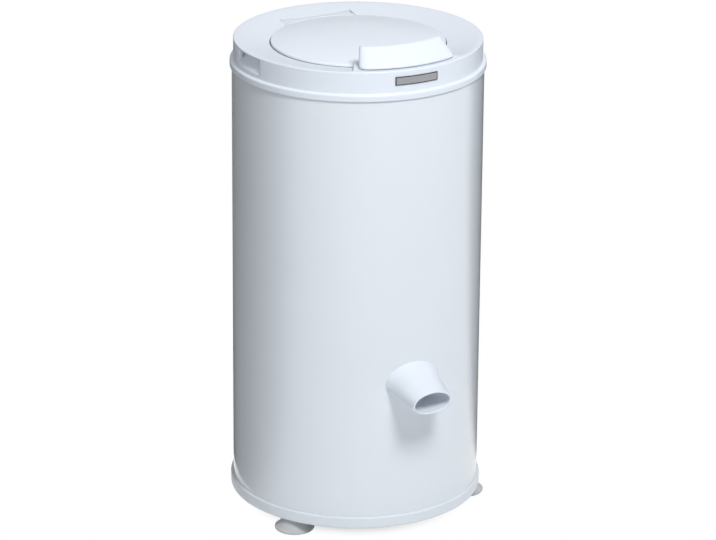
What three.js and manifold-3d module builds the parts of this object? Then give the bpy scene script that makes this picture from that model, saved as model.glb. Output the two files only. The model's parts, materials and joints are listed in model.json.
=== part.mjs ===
// A free-standing laundry spin dryer: a painted steel casing on three rubber feet, a plastic top cover with
// a round lid and a latching handle, a water tub with its drain spout, and a perforated drum spun by a motor
// on rubber mounts. Millimetres, +Z up, the front faces -Y, and the floor is z = 0.
import * as THREE from "three";
import { mergeVertices } from "three/addons/utils/BufferGeometryUtils.js";
import Module from "manifold-3d";

const wasm = await Module();
wasm.setup();

// ---------------------------------------------------------------- driving dimensions

const fit = 0.3; // gap between pieces that touch
const runningGap = 1.5; // gap round a piece that moves past another
const fine = 32; // sides of the large round pieces
const middling = 16; // sides of the motor's pieces
const plain = 10; // sides of the small round pieces

// Casing, base and feet
const bodyRadius = 172.5;
const sheet = 1;
const rimOverhang = 3.5; // how far the base rim stands out from the casing
const rimHeight = 15.9;
const panWall = 3;
const panVentRadius = 28;
const footHeight = 19;
const footRadius = 27.5;
const footTopRadius = 15;
const footInset = 17.5; // foot centres inside the casing's outer face
const footAngles = { left: -60, right: 64, rear: 180 };
const screwRadius = 3;
const screwHead = 3;
const footBossHeight = 17;

// Water tub
const tubGap = 9.5; // from the casing's outer face to the tub
const tubWall = 3;
const tubDepth = 411.6;
const tubCollarRadius = 34;
const tubCollarHeight = 12;
const splashThickness = 2.5;

// Drum
const drumGap = 38; // from the tub's outer face to the drum
const drumWall = 1.2;
const drumTopGap = 7.3; // drum's top below the splash ring
const drumFloorGap = 22; // drum's floor above the tub's floor
const drumLipWidth = 13;
const drumLipDepth = 8;
const coneRadius = 50;
const coneTopRadius = 20;
const coneHeight = 34;
const holeRows = 5;
const holesPerRow = 12;
const holeRadius = 4;

// Top cover
const bandOverhang = 2.8; // how far the band stands out from the casing
const bandHeight = 8.9;
const collarInset = 2.1; // how far the collar lies inside the casing's outer face
const collarHeight = 30.3;
const coverWall = 3;
const beadWidth = 7.4; // flat top of the outer rim
const ringDrop = 8.4; // how far the ring falls from the bead to the lid
const wellDepth = 8; // from the ring's inner edge down to the lid's ledge
const ledgeWidth = 15;
const throatInset = 19; // throat's wall inside the drum's outer face
const grooveDepth = 3.8; // how far the casing's edge stands in the band
const skirtDrop = 4.9; // how far the cover's skirt hangs below the band
const plateauHalfAngle = 30;
const plateauMargin = 2.4; // plateau's outer edge inside the collar
const plateauThickness = 7.9;

// Grip recesses in the collar's sides
const gripHalfLength = 36.5;
const gripDepth = 14;
const gripHeight = 21.4;
const gripTopWall = 3;

// Lid and its hinge
const lidGap = 1.5; // between the lid's edge and the well
const lidRimHeight = 8.5;
const lidCrown = 6.5;
const lidWall = 2.5;
const gasketHeight = 2.4;
const hingeReach = 7.5; // hinge axis behind the lid's edge
const hingeDrop = 10.2; // hinge axis below the top of the rim
const hingePinRadius = 2;
const hingeEyeRadius = 3.5;
const hingeArmX = [28, 37];
const hingeArmHalf = 2.6; // half the arm's height
const hingeEarX = [40, 48];
const pocketHalfWidth = 56;
const pocketMargin = 7; // pocket's rear wall behind the hinge axis
const flapMargin = 2; // flap's ends inside the pocket's
const flapReach = 3; // flap's rear edge behind the hinge axis
const flapThickness = 2;

// Handle and its latch hook
const handleOverlap = 2.5; // how far the handle reaches in over the lid's edge
const handleMargin = 8.4; // handle's outer face inside the collar
const handleHalfAngle = 27;
const handleHeight = 24;
const handleLift = 1.1; // dark gap between handle and plateau
const handleWall = 3;
const handleLean = 10; // how far the handle's inner face leans outwards up to its ridge
const ridgeWidth = 9;
const handleCorner = 10; // how much of the handle's outer corners is cut off
const pivotInset = 9.5; // handle pivot inside the lid's edge
const pivotRise = 4.6; // handle pivot above the top of the rim
const pivotPinRadius = 2;
const pivotEarRadius = 4;
const pivotEarX = [42, 49];
const hookThickness = 6;
const hookDepth = 5;
const hookLength = 27.4; // how far the hook reaches below the top of the rim
const hookHeadroom = 9.5; // hook's top below the handle's
const hookReach = 12.5; // hook's front face outside the lid's edge
const slotRoom = 18; // slot's length in front of the hook

// Interlock under the plateau
const plungerAngle = -18;
const plungerRadius = 3;
const plungerCollarRadius = 5.5;
const bracketDrop = 27.1; // bracket's top below the top of the rim
const bracketThickness = 2.5;
const bracketPosts = [[4.6, -27], [3.6, -7.5]]; // inside the plunger's circle, and angle, of each
const switchSize = [16, 10, 11.5];

// Drain and spout
const drainBore = 14;
const drainWall = 3;
const drainRise = 2; // lowest point of the drain above the tub's floor
const drainSlope = 12;
const spoutRoot = [41, 30.5]; // half width and half height at the casing
const spoutMouth = [29, 18];
const spoutLength = 54.4; // mouth's middle in front of the casing
const spoutWall = 2.6;
// Along the spout's outside: share of its length, share of its taper, and how far its lip is rounded off.
const spoutOutside = [[0, 0, 0], [0.04, 0.08, 0], [0.16, 0.3, 0], [0.4, 0.5, 0], [0.7, 0.75, 0], [0.94, 0.95, 0], [1, 1, 0.6]];
const spoutInside = [[1, 0], [0.5, 0.33], [0.2, 0.67], [0, 1]]; // share of its length, share of its fall to the bore

// Motor, brake and mounts
const shaftRadius = 8;
const shaftThreadRadius = 6;
const mountCircle = 110;
const mountRadius = 13;
const mountHeight = 17.1;
const mountBossHeight = 24;
const carrierThickness = 3;
const carrierRadius = 70;
const carrierArmWidth = 34;
const motorRadius = 63;
const motorHeight = 108;
const neckLength = 40.1; // from the motor's top to the tub's underside
const shieldWall = 3;
const rotorRadius = 32.5;
const airGap = 0.7;
const coreHeight = 50;
const windingOverhang = 10;
const bearingRadius = 14;
const bearingHeight = 10;
const neckRadius = 19;
const motorBoltCircle = 50;
const brakeRadius = 42;
const brakeHeight = 10;
const brakeClearance = 4.7; // between brake drum and carrier
const brakeGap = 1.9;
const leverX = -52;
const leverPivotY = -32;
const leverReach = [12, -80]; // along Y, from the shoe's end to the cable's end
const leverWidth = 10;
const leverThickness = 6;
const cableRadius = 1.7;

// Electrical pieces at the back
const inletHeight = 73.5;
const inletRadius = 8;
const inletBore = 4;
const capacitorRadius = 18;
const capacitorHeight = 70;
const capacitorPlace = { inset: 50.5, angle: 150 };
const terminalBox = { halfWidth: 25, depth: 22.2, height: 35, angle: 165 };

// ---------------------------------------------------------------- radii and distances from the drum axis

const casingInner = bodyRadius - sheet;
const rimRadius = bodyRadius + rimOverhang;
const footCircle = bodyRadius - footInset;
const tubRadius = bodyRadius - tubGap;
const tubInner = tubRadius - tubWall;
const drumRadius = tubRadius - drumGap;
const bandRadius = bodyRadius + bandOverhang;
const collarRadius = bodyRadius - collarInset;
const plateauOuter = collarRadius - plateauMargin;
const throatRadius = drumRadius - throatInset;
const wellRadius = throatRadius + ledgeWidth;
const lidRadius = wellRadius - lidGap;
const hingeBack = lidRadius + hingeReach;
const pocketRear = hingeBack + pocketMargin;
const handleInner = lidRadius - handleOverlap;
const handleOuter = collarRadius - handleMargin;
const ridgeInner = handleInner + handleLean;
const ridgeOuter = ridgeInner + ridgeWidth;
const pivotFront = lidRadius - pivotInset;
const hookFront = lidRadius + hookReach;
const slotFront = hookFront + slotRoom;
const plungerCircle = slotFront;
const spoutReach = bodyRadius + spoutLength;

// ---------------------------------------------------------------- levels, from the floor up

const panLow = footHeight;
const panTop = panLow + panWall;
const rimTop = panLow + rimHeight;
const mountSeat = panTop + mountBossHeight;
const carrierLow = mountSeat + mountHeight + 2 * fit;
const carrierTop = carrierLow + carrierThickness;
const brakeTop = carrierLow - brakeClearance;
const brakeLow = brakeTop - brakeHeight;
const motorLow = carrierTop + fit;
const motorTop = motorLow + motorHeight;
const tubLow = motorTop + neckLength;
const tubFloor = tubLow + tubWall;
const neckTop = tubFloor + 8;
const drainHeight = tubFloor + drainRise + drainBore;
const flangeLow = tubLow + tubDepth;
const skirtLow = flangeLow + tubWall + fit;
const splashLow = skirtLow;
const splashTop = splashLow + splashThickness;
const throatLow = splashTop + fit;
const drumTop = splashLow - drumTopGap;
const drumLow = tubFloor + drumFloorGap;
const coneTop = drumLow + coneHeight;
const bandLow = skirtLow + skirtDrop;
const bandTop = bandLow + bandHeight;
const coverTop = bandTop + collarHeight;
const ringLow = coverTop - ringDrop;
const ledgeTop = ringLow - wellDepth;
const plateauLow = coverTop - plateauThickness;
const lidLow = ledgeTop + gasketHeight + 2 * fit;
const lidRimTop = lidLow + lidRimHeight;
const lidTop = lidRimTop + lidCrown;
const hingeHeight = coverTop - hingeDrop;
const pivotHeight = coverTop + pivotRise;
const handleLow = coverTop + handleLift;
const handleTop = handleLow + handleHeight;
const bracketTop = coverTop - bracketDrop;
const bracketLow = bracketTop - bracketThickness;

// ---------------------------------------------------------------- shapes

const radians = THREE.MathUtils.degToRad;

// A point at a radius and an angle from the front, positive towards +X.
function polar(radius, angle) {
  return [radius * Math.sin(radians(angle)), -radius * Math.cos(radians(angle))];
}

// A geometry as a solid: its shared vertices are merged, and triangles that have no area are left out.
function solidOf(geometry) {
  const bare = geometry.index ? geometry.toNonIndexed() : geometry.clone();
  for (const name of ["normal", "uv"]) bare.deleteAttribute(name);
  const merged = mergeVertices(bare, 1e-4);
  const corners = [];
  for (let i = 0; i < merged.index.count; i += 3) {
    const [a, b, c] = merged.index.array.subarray(i, i + 3);
    if (a !== b && b !== c && c !== a) corners.push(a, b, c);
  }
  const mesh = { numProp: 3, vertProperties: merged.attributes.position.array, triVerts: new Uint32Array(corners) };
  return new wasm.Manifold(new wasm.Mesh(mesh));
}

function geometryOf(solid) {
  const mesh = solid.getMesh();
  const geometry = new THREE.BufferGeometry();
  geometry.setAttribute("position", new THREE.BufferAttribute(mesh.vertProperties, 3));
  geometry.setIndex(new THREE.BufferAttribute(mesh.triVerts, 1));
  geometry.computeVertexNormals();
  return geometry;
}

const join = (first, ...others) => others.reduce((sum, other) => sum.add(other), first);
const cut = (first, ...others) => others.reduce((rest, other) => rest.subtract(other), first);

// A piece turned about the vertical axis from [radius, height] points in counter-clockwise order.
function turned(profile, sides = fine) {
  const onAxis = profile[0][0] === 0 && profile.at(-1)[0] === 0;
  const points = (onAxis ? profile : [...profile, profile[0]]).map(([r, z]) => new THREE.Vector2(r, z));
  return solidOf(new THREE.LatheGeometry(points, sides).rotateX(Math.PI / 2));
}

// A plain tube about the vertical axis.
function tube(inner, outer, low, high, sides = fine) {
  return turned([[outer, low], [outer, high], [inner, high], [inner, low]], sides);
}

// An upright round bar at (x, y).
function post(radius, x, y, low, high, sides = plain) {
  const bar = new THREE.CylinderGeometry(radius, radius, high - low, sides).rotateX(Math.PI / 2);
  return solidOf(bar.translate(x, y, (low + high) / 2));
}

// A round bar along X at (y, z).
function crossBar(radius, x0, x1, y, z, sides = plain) {
  const bar = new THREE.CylinderGeometry(radius, radius, x1 - x0, sides).rotateZ(Math.PI / 2);
  return solidOf(bar.translate((x0 + x1) / 2, y, z));
}

// A round bar from one distance in front of the drum axis to another, falling by a slope in degrees.
function forwardBar(radius, from, to, height, slope = 0, sides = plain) {
  const length = (to - from) / Math.cos(radians(slope));
  const bar = new THREE.CylinderGeometry(radius, radius, length, sides).rotateX(radians(slope));
  const middle = (from + to) / 2;
  return solidOf(bar.translate(0, -middle, height - (middle - tubInner) * Math.tan(radians(slope))));
}

function block([x0, x1], [y0, y1], [z0, z1]) {
  const box = new THREE.BoxGeometry(x1 - x0, y1 - y0, z1 - z0);
  return solidOf(box.translate((x0 + x1) / 2, (y0 + y1) / 2, (z0 + z1) / 2));
}

// The outline of a ring sector that is centred on the front.
function sectorShape(inner, outer, halfAngle) {
  const from = radians(-90 - halfAngle);
  const to = radians(-90 + halfAngle);
  const shape = new THREE.Shape();
  shape.absarc(0, 0, outer, from, to, false);
  shape.absarc(0, 0, inner, to, from, true);
  return shape;
}

function sector(inner, outer, halfAngle, low, high, steps = 5) {
  const shape = sectorShape(inner, outer, halfAngle);
  const geometry = new THREE.ExtrudeGeometry(shape, { depth: high - low, bevelEnabled: false, curveSegments: steps });
  return solidOf(geometry.translate(0, 0, low));
}

// A prism along Y from points in the X-Z plane.
function prismAlongY(points, y0, y1) {
  const shape = new THREE.Shape(points.map(([x, z]) => new THREE.Vector2(x, z)));
  const geometry = new THREE.ExtrudeGeometry(shape, { depth: y1 - y0, bevelEnabled: false });
  return solidOf(geometry.rotateX(Math.PI / 2).translate(0, y1, 0));
}

// A closed skin over a loop of rings, each a list of as many points.
function loft(rings) {
  const count = rings[0].length;
  const corners = [];
  rings.forEach((ring, i) => {
    const next = rings[(i + 1) % rings.length];
    for (let j = 0; j < count; j++) {
      const k = (j + 1) % count;
      corners.push(...ring[j], ...ring[k], ...next[k], ...ring[j], ...next[k], ...next[j]);
    }
  });
  const geometry = new THREE.BufferGeometry();
  geometry.setAttribute("position", new THREE.Float32BufferAttribute(corners, 3));
  return solidOf(geometry);
}

// ---------------------------------------------------------------- the scene graph

const finish = (color, roughness, metalness = 0) => new THREE.MeshStandardMaterial({ color, roughness, metalness });
const whiteSteel = finish(0xe9edee, 0.25, 0.1);
const whitePlastic = finish(0xf2f3f1, 0.35);
const basePlastic = finish(0xdfe2e2, 0.45);
const greyRubber = finish(0xa9abab, 0.8);
const blackRubber = finish(0x1c1c1d, 0.85);
const stainless = finish(0xc3c5c7, 0.3, 1);
const zinc = finish(0xb4b7ba, 0.4, 1);
const castAluminium = finish(0xa7aaac, 0.55, 1);
const steelCore = finish(0x5d5f62, 0.6, 0.8);
const blackPlastic = finish(0x222325, 0.5);
const greyPlate = finish(0x7f8588, 0.35, 0.4);
const frictionPad = finish(0x4a3f38, 0.95);
const tubPlastic = finish(0xd6d9d8, 0.5);

const machine = new THREE.Group();

function add(name, shape, material, place = {}) {
  const mesh = new THREE.Mesh(shape.isBufferGeometry ? shape : geometryOf(shape), material);
  mesh.name = name;
  mesh.position.set(place.x ?? 0, place.y ?? 0, place.z ?? 0);
  machine.add(mesh);
}

// One copy of a piece at each angle of a circle, numbered or named.
function addRound(name, shape, material, circle, angles) {
  const geometry = geometryOf(shape);
  for (const [label, angle] of Object.entries(angles)) {
    const [x, y] = polar(circle, angle);
    add(`${name}_${label}`, geometry, material, { x, y });
  }
}

// A headed screw whose head rests under a face at height seat and whose shank ends at height tip.
function screw(radius, headRadius, headLow, seat, tip) {
  const profile = [[0, headLow], [headRadius, headLow], [headRadius, seat], [radius, seat], [radius, tip], [0, tip]];
  return turned(profile, plain);
}

// ---------------------------------------------------------------- base and feet

const panLipInner = bodyRadius + fit;
const panWallOuter = casingInner - fit;
const panWallInner = panWallOuter - panWall;
const footBossRadius = screwRadius + fit + 5.5;
const mountAngles = { 1: 0, 2: 120, 3: -120 };
const capacitorXY = polar(bodyRadius - capacitorPlace.inset, capacitorPlace.angle);

// The pan that carries everything: a rim that holds the casing's edge, bosses for feet and motor mounts,
// and a socket for the capacitor.
function basePan() {
  const pan = turned([
    [rimRadius, panLow],
    [rimRadius, rimTop - 1],
    [rimRadius - 1, rimTop],
    [panLipInner, rimTop],
    [panLipInner, panTop],
    [panWallOuter, panTop],
    [panWallOuter, rimTop - 1],
    [panWallInner, rimTop - 1],
    [panWallInner, panTop],
    [panVentRadius, panTop],
    [panVentRadius, panLow],
  ]);
  const bosses = [];
  const holes = [];
  for (const angle of Object.values(footAngles)) {
    const [x, y] = polar(footCircle, angle);
    bosses.push(post(footBossRadius, x, y, panLow + 1, panTop + footBossHeight));
    holes.push(post(screwRadius + fit, x, y, panLow - 1, panTop + footBossHeight + 1));
  }
  for (const angle of Object.values(mountAngles)) {
    const [x, y] = polar(mountCircle, angle);
    bosses.push(post(mountRadius, x, y, panLow + 1, mountSeat));
    holes.push(post(screwRadius + fit, x, y, panTop, mountSeat + 1));
  }
  const [cx, cy] = capacitorXY;
  bosses.push(post(capacitorRadius + fit + panWall, cx, cy, panLow + 1, panTop + 12, middling));
  holes.push(post(capacitorRadius + fit, cx, cy, panTop, panTop + 13, middling));
  return cut(join(pan, ...bosses), ...holes);
}

const footScrewHeadRadius = 6;
const footRecess = screwHead + 5;

// A bell-shaped rubber foot with a recess for its screw.
function foot() {
  const top = footHeight - fit;
  return turned([
    [footScrewHeadRadius + 1, 0],
    [footRadius - 1, 0],
    [footRadius, 1.4],
    [footRadius, 3.6],
    [footRadius - 4, top * 0.34],
    [(footRadius + footTopRadius) / 2 - 1, top * 0.56],
    [footTopRadius + 1.2, top * 0.8],
    [footTopRadius, top],
    [screwRadius + fit, top],
    [screwRadius + fit, footRecess],
    [footScrewHeadRadius + 1, footRecess],
  ], 12);
}

add("base_pan", basePan(), basePlastic);
addRound("foot", foot(), greyRubber, footCircle, footAngles);
const footScrewTip = panTop + footBossHeight - 2;
const footScrew = screw(screwRadius, footScrewHeadRadius, footRecess - fit - screwHead, footRecess - fit, footScrewTip);
addRound("foot_screw", footScrew, zinc, footCircle, footAngles);

// ---------------------------------------------------------------- casing

const spigotRadius = drainBore + drainWall;
const spigotEnd = bodyRadius + 6;

// Height of the drain's centre line at a distance in front of the drum axis.
function drainLine(forward) {
  return drainHeight - (forward - tubInner) * Math.tan(radians(drainSlope));
}

function outerCasing() {
  const shell = tube(casingInner, bodyRadius, panTop + fit, bandLow + grooveDepth - fit);
  const drainHole = forwardBar(spigotRadius + 1, tubRadius, bodyRadius + 20, drainHeight, drainSlope);
  const inletHole = new THREE.CylinderGeometry(inletRadius, inletRadius, 40, plain);
  return cut(shell, drainHole, solidOf(inletHole.translate(0, bodyRadius, inletHeight)));
}

add("outer_casing", outerCasing(), whiteSteel);

// ---------------------------------------------------------------- top cover

const collarInner = collarRadius - coverWall;
const grooveInner = casingInner - fit;
const beadInner = collarRadius - beadWidth;
const tubScrewAngles = { 1: 60, 2: 180, 3: -100 };
const tubScrewRadius = 1.6;
const tubBossRadius = 4;
const tubBossCircle = grooveInner - tubBossRadius - 0.8;
const plungerXY = polar(plungerCircle, plungerAngle);

function coverShell() {
  return turned([
    [bandRadius, bandLow],
    [bandRadius, bandTop - 1.8],
    [bandRadius - 1.8, bandTop],
    [collarRadius, bandTop],
    [collarRadius, coverTop - 3],
    [collarRadius - 0.9, coverTop - 0.9],
    [collarRadius - 3, coverTop],
    [beadInner, coverTop - 0.5],
    [wellRadius, ringLow],
    [wellRadius, ledgeTop],
    [throatRadius, ledgeTop],
    [throatRadius, throatLow],
    [throatRadius + coverWall, throatLow],
    [throatRadius + coverWall, ledgeTop - coverWall],
    [wellRadius + coverWall, ledgeTop - coverWall],
    [wellRadius + coverWall, ringLow - coverWall + 0.6],
    [beadInner, coverTop - coverWall - 0.5],
    [collarInner, coverTop - coverWall - 0.5],
    [collarInner, skirtLow],
    [grooveInner, skirtLow],
    [grooveInner, bandLow + grooveDepth],
    [bodyRadius + fit, bandLow + grooveDepth],
    [bodyRadius + fit, bandLow],
  ]);
}

// The finger recess in the collar at +X or -X: deepest under the rim, sloping out to nothing below.
const gripTop = coverTop - gripTopWall;
const gripLow = gripTop - gripHeight;
const gripBack = collarRadius - gripDepth;

function gripWall(side) {
  const points = [
    [side * (collarRadius - 1), gripLow - coverWall],
    [side * (collarRadius - 1), gripTop + 1],
    [side * (gripBack - coverWall), gripTop],
    [side * (gripBack - coverWall), gripTop - 3],
  ];
  return prismAlongY(points, -gripHalfLength - coverWall, gripHalfLength + coverWall);
}

function gripRecess(side) {
  const slope = (gripHeight - 3) / gripDepth;
  const points = [
    [side * gripBack, gripTop - 3],
    [side * (collarRadius + 6), gripLow - 6 * slope],
    [side * (collarRadius + 6), gripTop],
    [side * gripBack, gripTop],
  ];
  return prismAlongY(points, -gripHalfLength, gripHalfLength);
}

const mirrored = (range, side) => (side > 0 ? range : [-range[1], -range[0]]);

// Two eyes that hold the hinge pin at the back, in a pocket in the ring.
function hingePocketFloor() {
  const half = pocketHalfWidth + coverWall;
  const floor = block([-half, half], [throatRadius + coverWall + 5, pocketRear + coverWall], [ledgeTop - 1, ringLow - 0.5]);
  return cut(floor, post(wellRadius, 0, 0, ledgeTop - 2, coverTop, fine));
}

function hingePocket() {
  return block([-pocketHalfWidth, pocketHalfWidth], [wellRadius - 7, pocketRear], [ledgeTop + 2, coverTop + 5]);
}

function hingeEye(side) {
  const [x0, x1] = mirrored(hingeEarX, side);
  const half = hingeEyeRadius - 0.5;
  const base = block([x0, x1], [hingeBack - half, hingeBack + half], [ledgeTop + 1, hingeHeight]);
  return join(base, crossBar(hingeEyeRadius, x0, x1, hingeBack, hingeHeight));
}

function topCover() {
  const plateau = sector(wellRadius, plateauOuter, plateauHalfAngle, plateauLow, coverTop);
  const bosses = Object.values(tubScrewAngles).map((angle) =>
    post(tubBossRadius, ...polar(tubBossCircle, angle), skirtLow, coverTop - coverWall, 12),
  );
  const hangers = bracketPosts.map(([inset, angle]) =>
    post(tubBossRadius, ...polar(plungerCircle - inset, angle), bracketTop + fit, plateauLow + 2, 12),
  );
  const walls = [gripWall(1), gripWall(-1), hingePocketFloor()];
  const body = join(coverShell(), plateau, ...bosses, ...hangers, ...walls);
  const screwHoles = Object.values(tubScrewAngles).map((angle) =>
    post(tubScrewRadius + fit, ...polar(tubBossCircle, angle), skirtLow - 1, skirtLow + 18, 12),
  );
  const hookSlot = block([-hookThickness / 2 - 2.5, hookThickness / 2 + 2.5], [-slotFront, -wellRadius - coverWall - 0.5],
    [plateauLow - 5, coverTop + 1]);
  const plungerHole = post(plungerRadius + fit, ...plungerXY, plateauLow - 1, coverTop + 1);
  const hollow = cut(body, gripRecess(1), gripRecess(-1), hingePocket(), hookSlot, plungerHole, ...screwHoles);
  const pinHole = crossBar(hingePinRadius + fit, -pocketHalfWidth - 1, pocketHalfWidth + 1, hingeBack, hingeHeight);
  return join(hollow, cut(hingeEye(1), pinHole), cut(hingeEye(-1), pinHole));
}

const badgeHalfAngle = 10.6;
const badgeHeight = 11.7;
const badgeTop = coverTop - 7.9;

add("top_cover", topCover(), whitePlastic);
add("badge_plate", sector(collarRadius + fit, collarRadius + fit + 0.9, badgeHalfAngle, badgeTop - badgeHeight, badgeTop),
  greyPlate);

// ---------------------------------------------------------------- tub, splash ring, seals and spout

const flangeOuter = grooveInner;
const cableFlangePoint = polar(tubRadius + cableRadius + 0.5, -26);

function waterTub() {
  const shell = turned([
    [tubCollarRadius, tubLow],
    [tubRadius, tubLow],
    [tubRadius, flangeLow],
    [flangeOuter, flangeLow],
    [flangeOuter, flangeLow + tubWall],
    [tubInner, flangeLow + tubWall],
    [tubInner, tubFloor],
    [tubCollarRadius + tubWall, tubFloor],
    [tubCollarRadius + tubWall, tubFloor + tubCollarHeight],
    [tubCollarRadius, tubFloor + tubCollarHeight],
  ]);
  const spigot = forwardBar(spigotRadius, tubInner - 1, spigotEnd, drainHeight, drainSlope);
  const bore = forwardBar(drainBore, tubInner - 12, bodyRadius + 20, drainHeight, drainSlope);
  const inside = post(tubInner, 0, 0, tubFloor, flangeLow, fine);
  const holes = Object.values(tubScrewAngles).map((angle) =>
    post(tubScrewRadius + fit, ...polar(tubBossCircle, angle), flangeLow - 1, flangeLow + tubWall + 1, 12),
  );
  const cableHole = post(cableRadius + 2.6, ...cableFlangePoint, flangeLow - 1, skirtLow + 1, 12);
  return cut(join(shell, cut(spigot, inside)), bore, cableHole, ...holes);
}

function splashRing() {
  return tube(throatRadius + coverWall - 1, tubBossCircle - tubBossRadius - fit, splashLow, splashTop);
}

// The rubber ring round the drain between tub and casing, cut to both cylinders.
function spoutSeal() {
  const ring = forwardBar(spigotRadius + 6, tubRadius - 8, bodyRadius + 8, drainHeight, drainSlope, 24);
  const bore = forwardBar(spigotRadius + fit, tubRadius - 30, bodyRadius + 30, drainHeight, drainSlope, 24);
  const between = tube(tubRadius + fit, casingInner - fit, drainHeight - 3 * spigotRadius, drainHeight + 3 * spigotRadius);
  return cut(ring.intersect(between), bore);
}

// One ring of the spout: an oval of a half width and half height, centred on the drain's slope. Its points lie
// just inside the casing at share 0 and on the mouth's plane, square to the slope, at share 1.
function spoutRing(halfWidth, halfHeight, centre, share, steps = 24) {
  const ring = [];
  for (let i = 0; i < steps; i++) {
    const turn = (2 * Math.PI * i) / steps;
    const x = halfWidth * Math.cos(turn);
    const rise = halfHeight * Math.sin(turn) * (Math.sin(turn) < 0 ? 0.94 : 1);
    const onCasing = Math.sqrt((bodyRadius - 3) ** 2 - x * x);
    const onMouth = spoutReach + rise * Math.tan(radians(drainSlope));
    ring.push([x, -(onCasing * (1 - share) + onMouth * share), centre + rise]);
  }
  return ring;
}

function drainSpout() {
  const rootHeight = drainLine(bodyRadius) - 1.5;
  const mouthHeight = drainLine(spoutReach) - 1.5;
  const mix = (a, b, share) => a + (b - a) * share;
  const outer = spoutOutside.map(([share, taper, rounding]) => {
    const [width, height] = [0, 1].map((i) => mix(spoutRoot[i], spoutMouth[i], taper) - rounding);
    return spoutRing(width, height, mix(rootHeight, mouthHeight, share), share);
  });
  const inner = spoutInside.map(([share, fall]) => {
    const [width, height] = spoutMouth.map((size) => mix(size - spoutWall, drainBore, fall));
    return spoutRing(width, height, mix(rootHeight, mouthHeight, share), share);
  });
  const seat = post(bodyRadius + fit, 0, 0, rootHeight - 2 * spoutRoot[1], rootHeight + 2 * spoutRoot[1], fine);
  const socket = forwardBar(spigotRadius + fit, tubRadius, spigotEnd + fit, drainHeight, drainSlope);
  return cut(loft([...outer, ...inner]), seat, socket);
}

// The bellows between the tub's collar and the motor's neck.
function neckSeal() {
  const inner = neckRadius + fit;
  const outer = tubCollarRadius - fit;
  const middle = (inner + outer) / 2;
  const low = tubFloor + 1;
  return turned([
    [inner, low],
    [middle, low - 3],
    [outer, low],
    [outer, low + 5],
    [middle, low - 1],
    [inner, low + 5],
  ], middling);
}

add("water_tub", waterTub(), tubPlastic);
add("splash_ring", splashRing(), tubPlastic);
add("spout_seal", spoutSeal(), blackRubber);
add("drain_spout", drainSpout(), whitePlastic);
add("neck_seal", neckSeal(), blackRubber);
const tubScrew = screw(tubScrewRadius, 3.4, flangeLow - fit - 2.4, flangeLow - fit, skirtLow + 16);
addRound("tub_screw", tubScrew, zinc, tubBossCircle, tubScrewAngles);

// ---------------------------------------------------------------- drum and what turns with it

const boreClear = shaftRadius + fit;
const hubPlateRadius = coneRadius + 12;
const rowPitch = (drumTop - drumLow - 60) / holeRows;

function drumBasket() {
  const inner = drumRadius - drumWall;
  const lip = drumRadius - drumLipWidth;
  const basket = turned([
    [coneRadius, drumLow],
    [drumRadius, drumLow],
    [drumRadius, drumTop],
    [lip, drumTop],
    [lip, drumTop - drumLipDepth],
    [lip + drumWall, drumTop - drumLipDepth],
    [lip + drumWall, drumTop - drumWall],
    [inner, drumTop - drumWall],
    [inner, drumLow + drumWall],
    [coneRadius + 1, drumLow + drumWall],
    [coneTopRadius + 1, coneTop + drumWall],
    [shaftThreadRadius + fit, coneTop + drumWall],
    [shaftThreadRadius + fit, coneTop],
    [coneTopRadius, coneTop],
  ]);
  const holes = [];
  for (let row = 0; row < holeRows; row++) {
    for (let i = 0; i < holesPerRow; i++) {
      const angle = (360 / holesPerRow) * (i + (row % 2) / 2);
      const peg = new THREE.CylinderGeometry(holeRadius, holeRadius, 8, 4).rotateX(Math.PI / 2);
      peg.translate(0, -drumRadius, drumLow + 40 + rowPitch * row).rotateZ(radians(angle));
      holes.push(solidOf(peg));
    }
  }
  return cut(basket, ...holes);
}

function drumHub() {
  return turned([
    [boreClear, drumLow - 7],
    [hubPlateRadius, drumLow - 7],
    [hubPlateRadius, drumLow - fit],
    [coneRadius - 1, drumLow - fit],
    [boreClear + 9, drumLow],
    [boreClear + 9, coneTop - fit],
    [boreClear, coneTop - fit],
  ], middling);
}

const shaftLow = brakeLow - 6;
const nutHeight = 7;
const nutLow = coneTop + drumWall + fit;
const capRadius = coneTopRadius - 1;
const capHeight = 17;

function drumShaft() {
  const shoulder = coneTop - fit;
  return turned([
    [0, shaftLow],
    [shaftRadius, shaftLow],
    [shaftRadius, shoulder],
    [shaftThreadRadius, shoulder],
    [shaftThreadRadius, nutLow + nutHeight + 3],
    [0, nutLow + nutHeight + 3],
  ], middling);
}

// The plastic cap that covers the nut on the drum's cone.
function hubCap() {
  return turned([
    [capRadius, nutLow],
    [capRadius, nutLow + capHeight - 7],
    [capRadius - 3, nutLow + capHeight - 2.5],
    [capRadius - 10, nutLow + capHeight],
    [0, nutLow + capHeight],
    [0, nutLow + capHeight - 2],
    [capRadius - 10, nutLow + capHeight - 2],
    [capRadius - 5, nutLow + capHeight - 4.5],
    [capRadius - 2, nutLow + capHeight - 8],
    [capRadius - 2, nutLow],
  ], plain);
}

add("drum", drumBasket(), stainless);
add("drum_hub", drumHub(), castAluminium);
add("drum_shaft", drumShaft(), steelCore);
const nutBore = post(shaftThreadRadius + fit, 0, 0, nutLow - 1, nutLow + nutHeight + 1, middling);
add("hub_nut", cut(post(11, 0, 0, nutLow, nutLow + nutHeight, 6), nutBore), zinc);
add("hub_cap", hubCap(), greyPlate);

// ---------------------------------------------------------------- motor on its mounts

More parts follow.
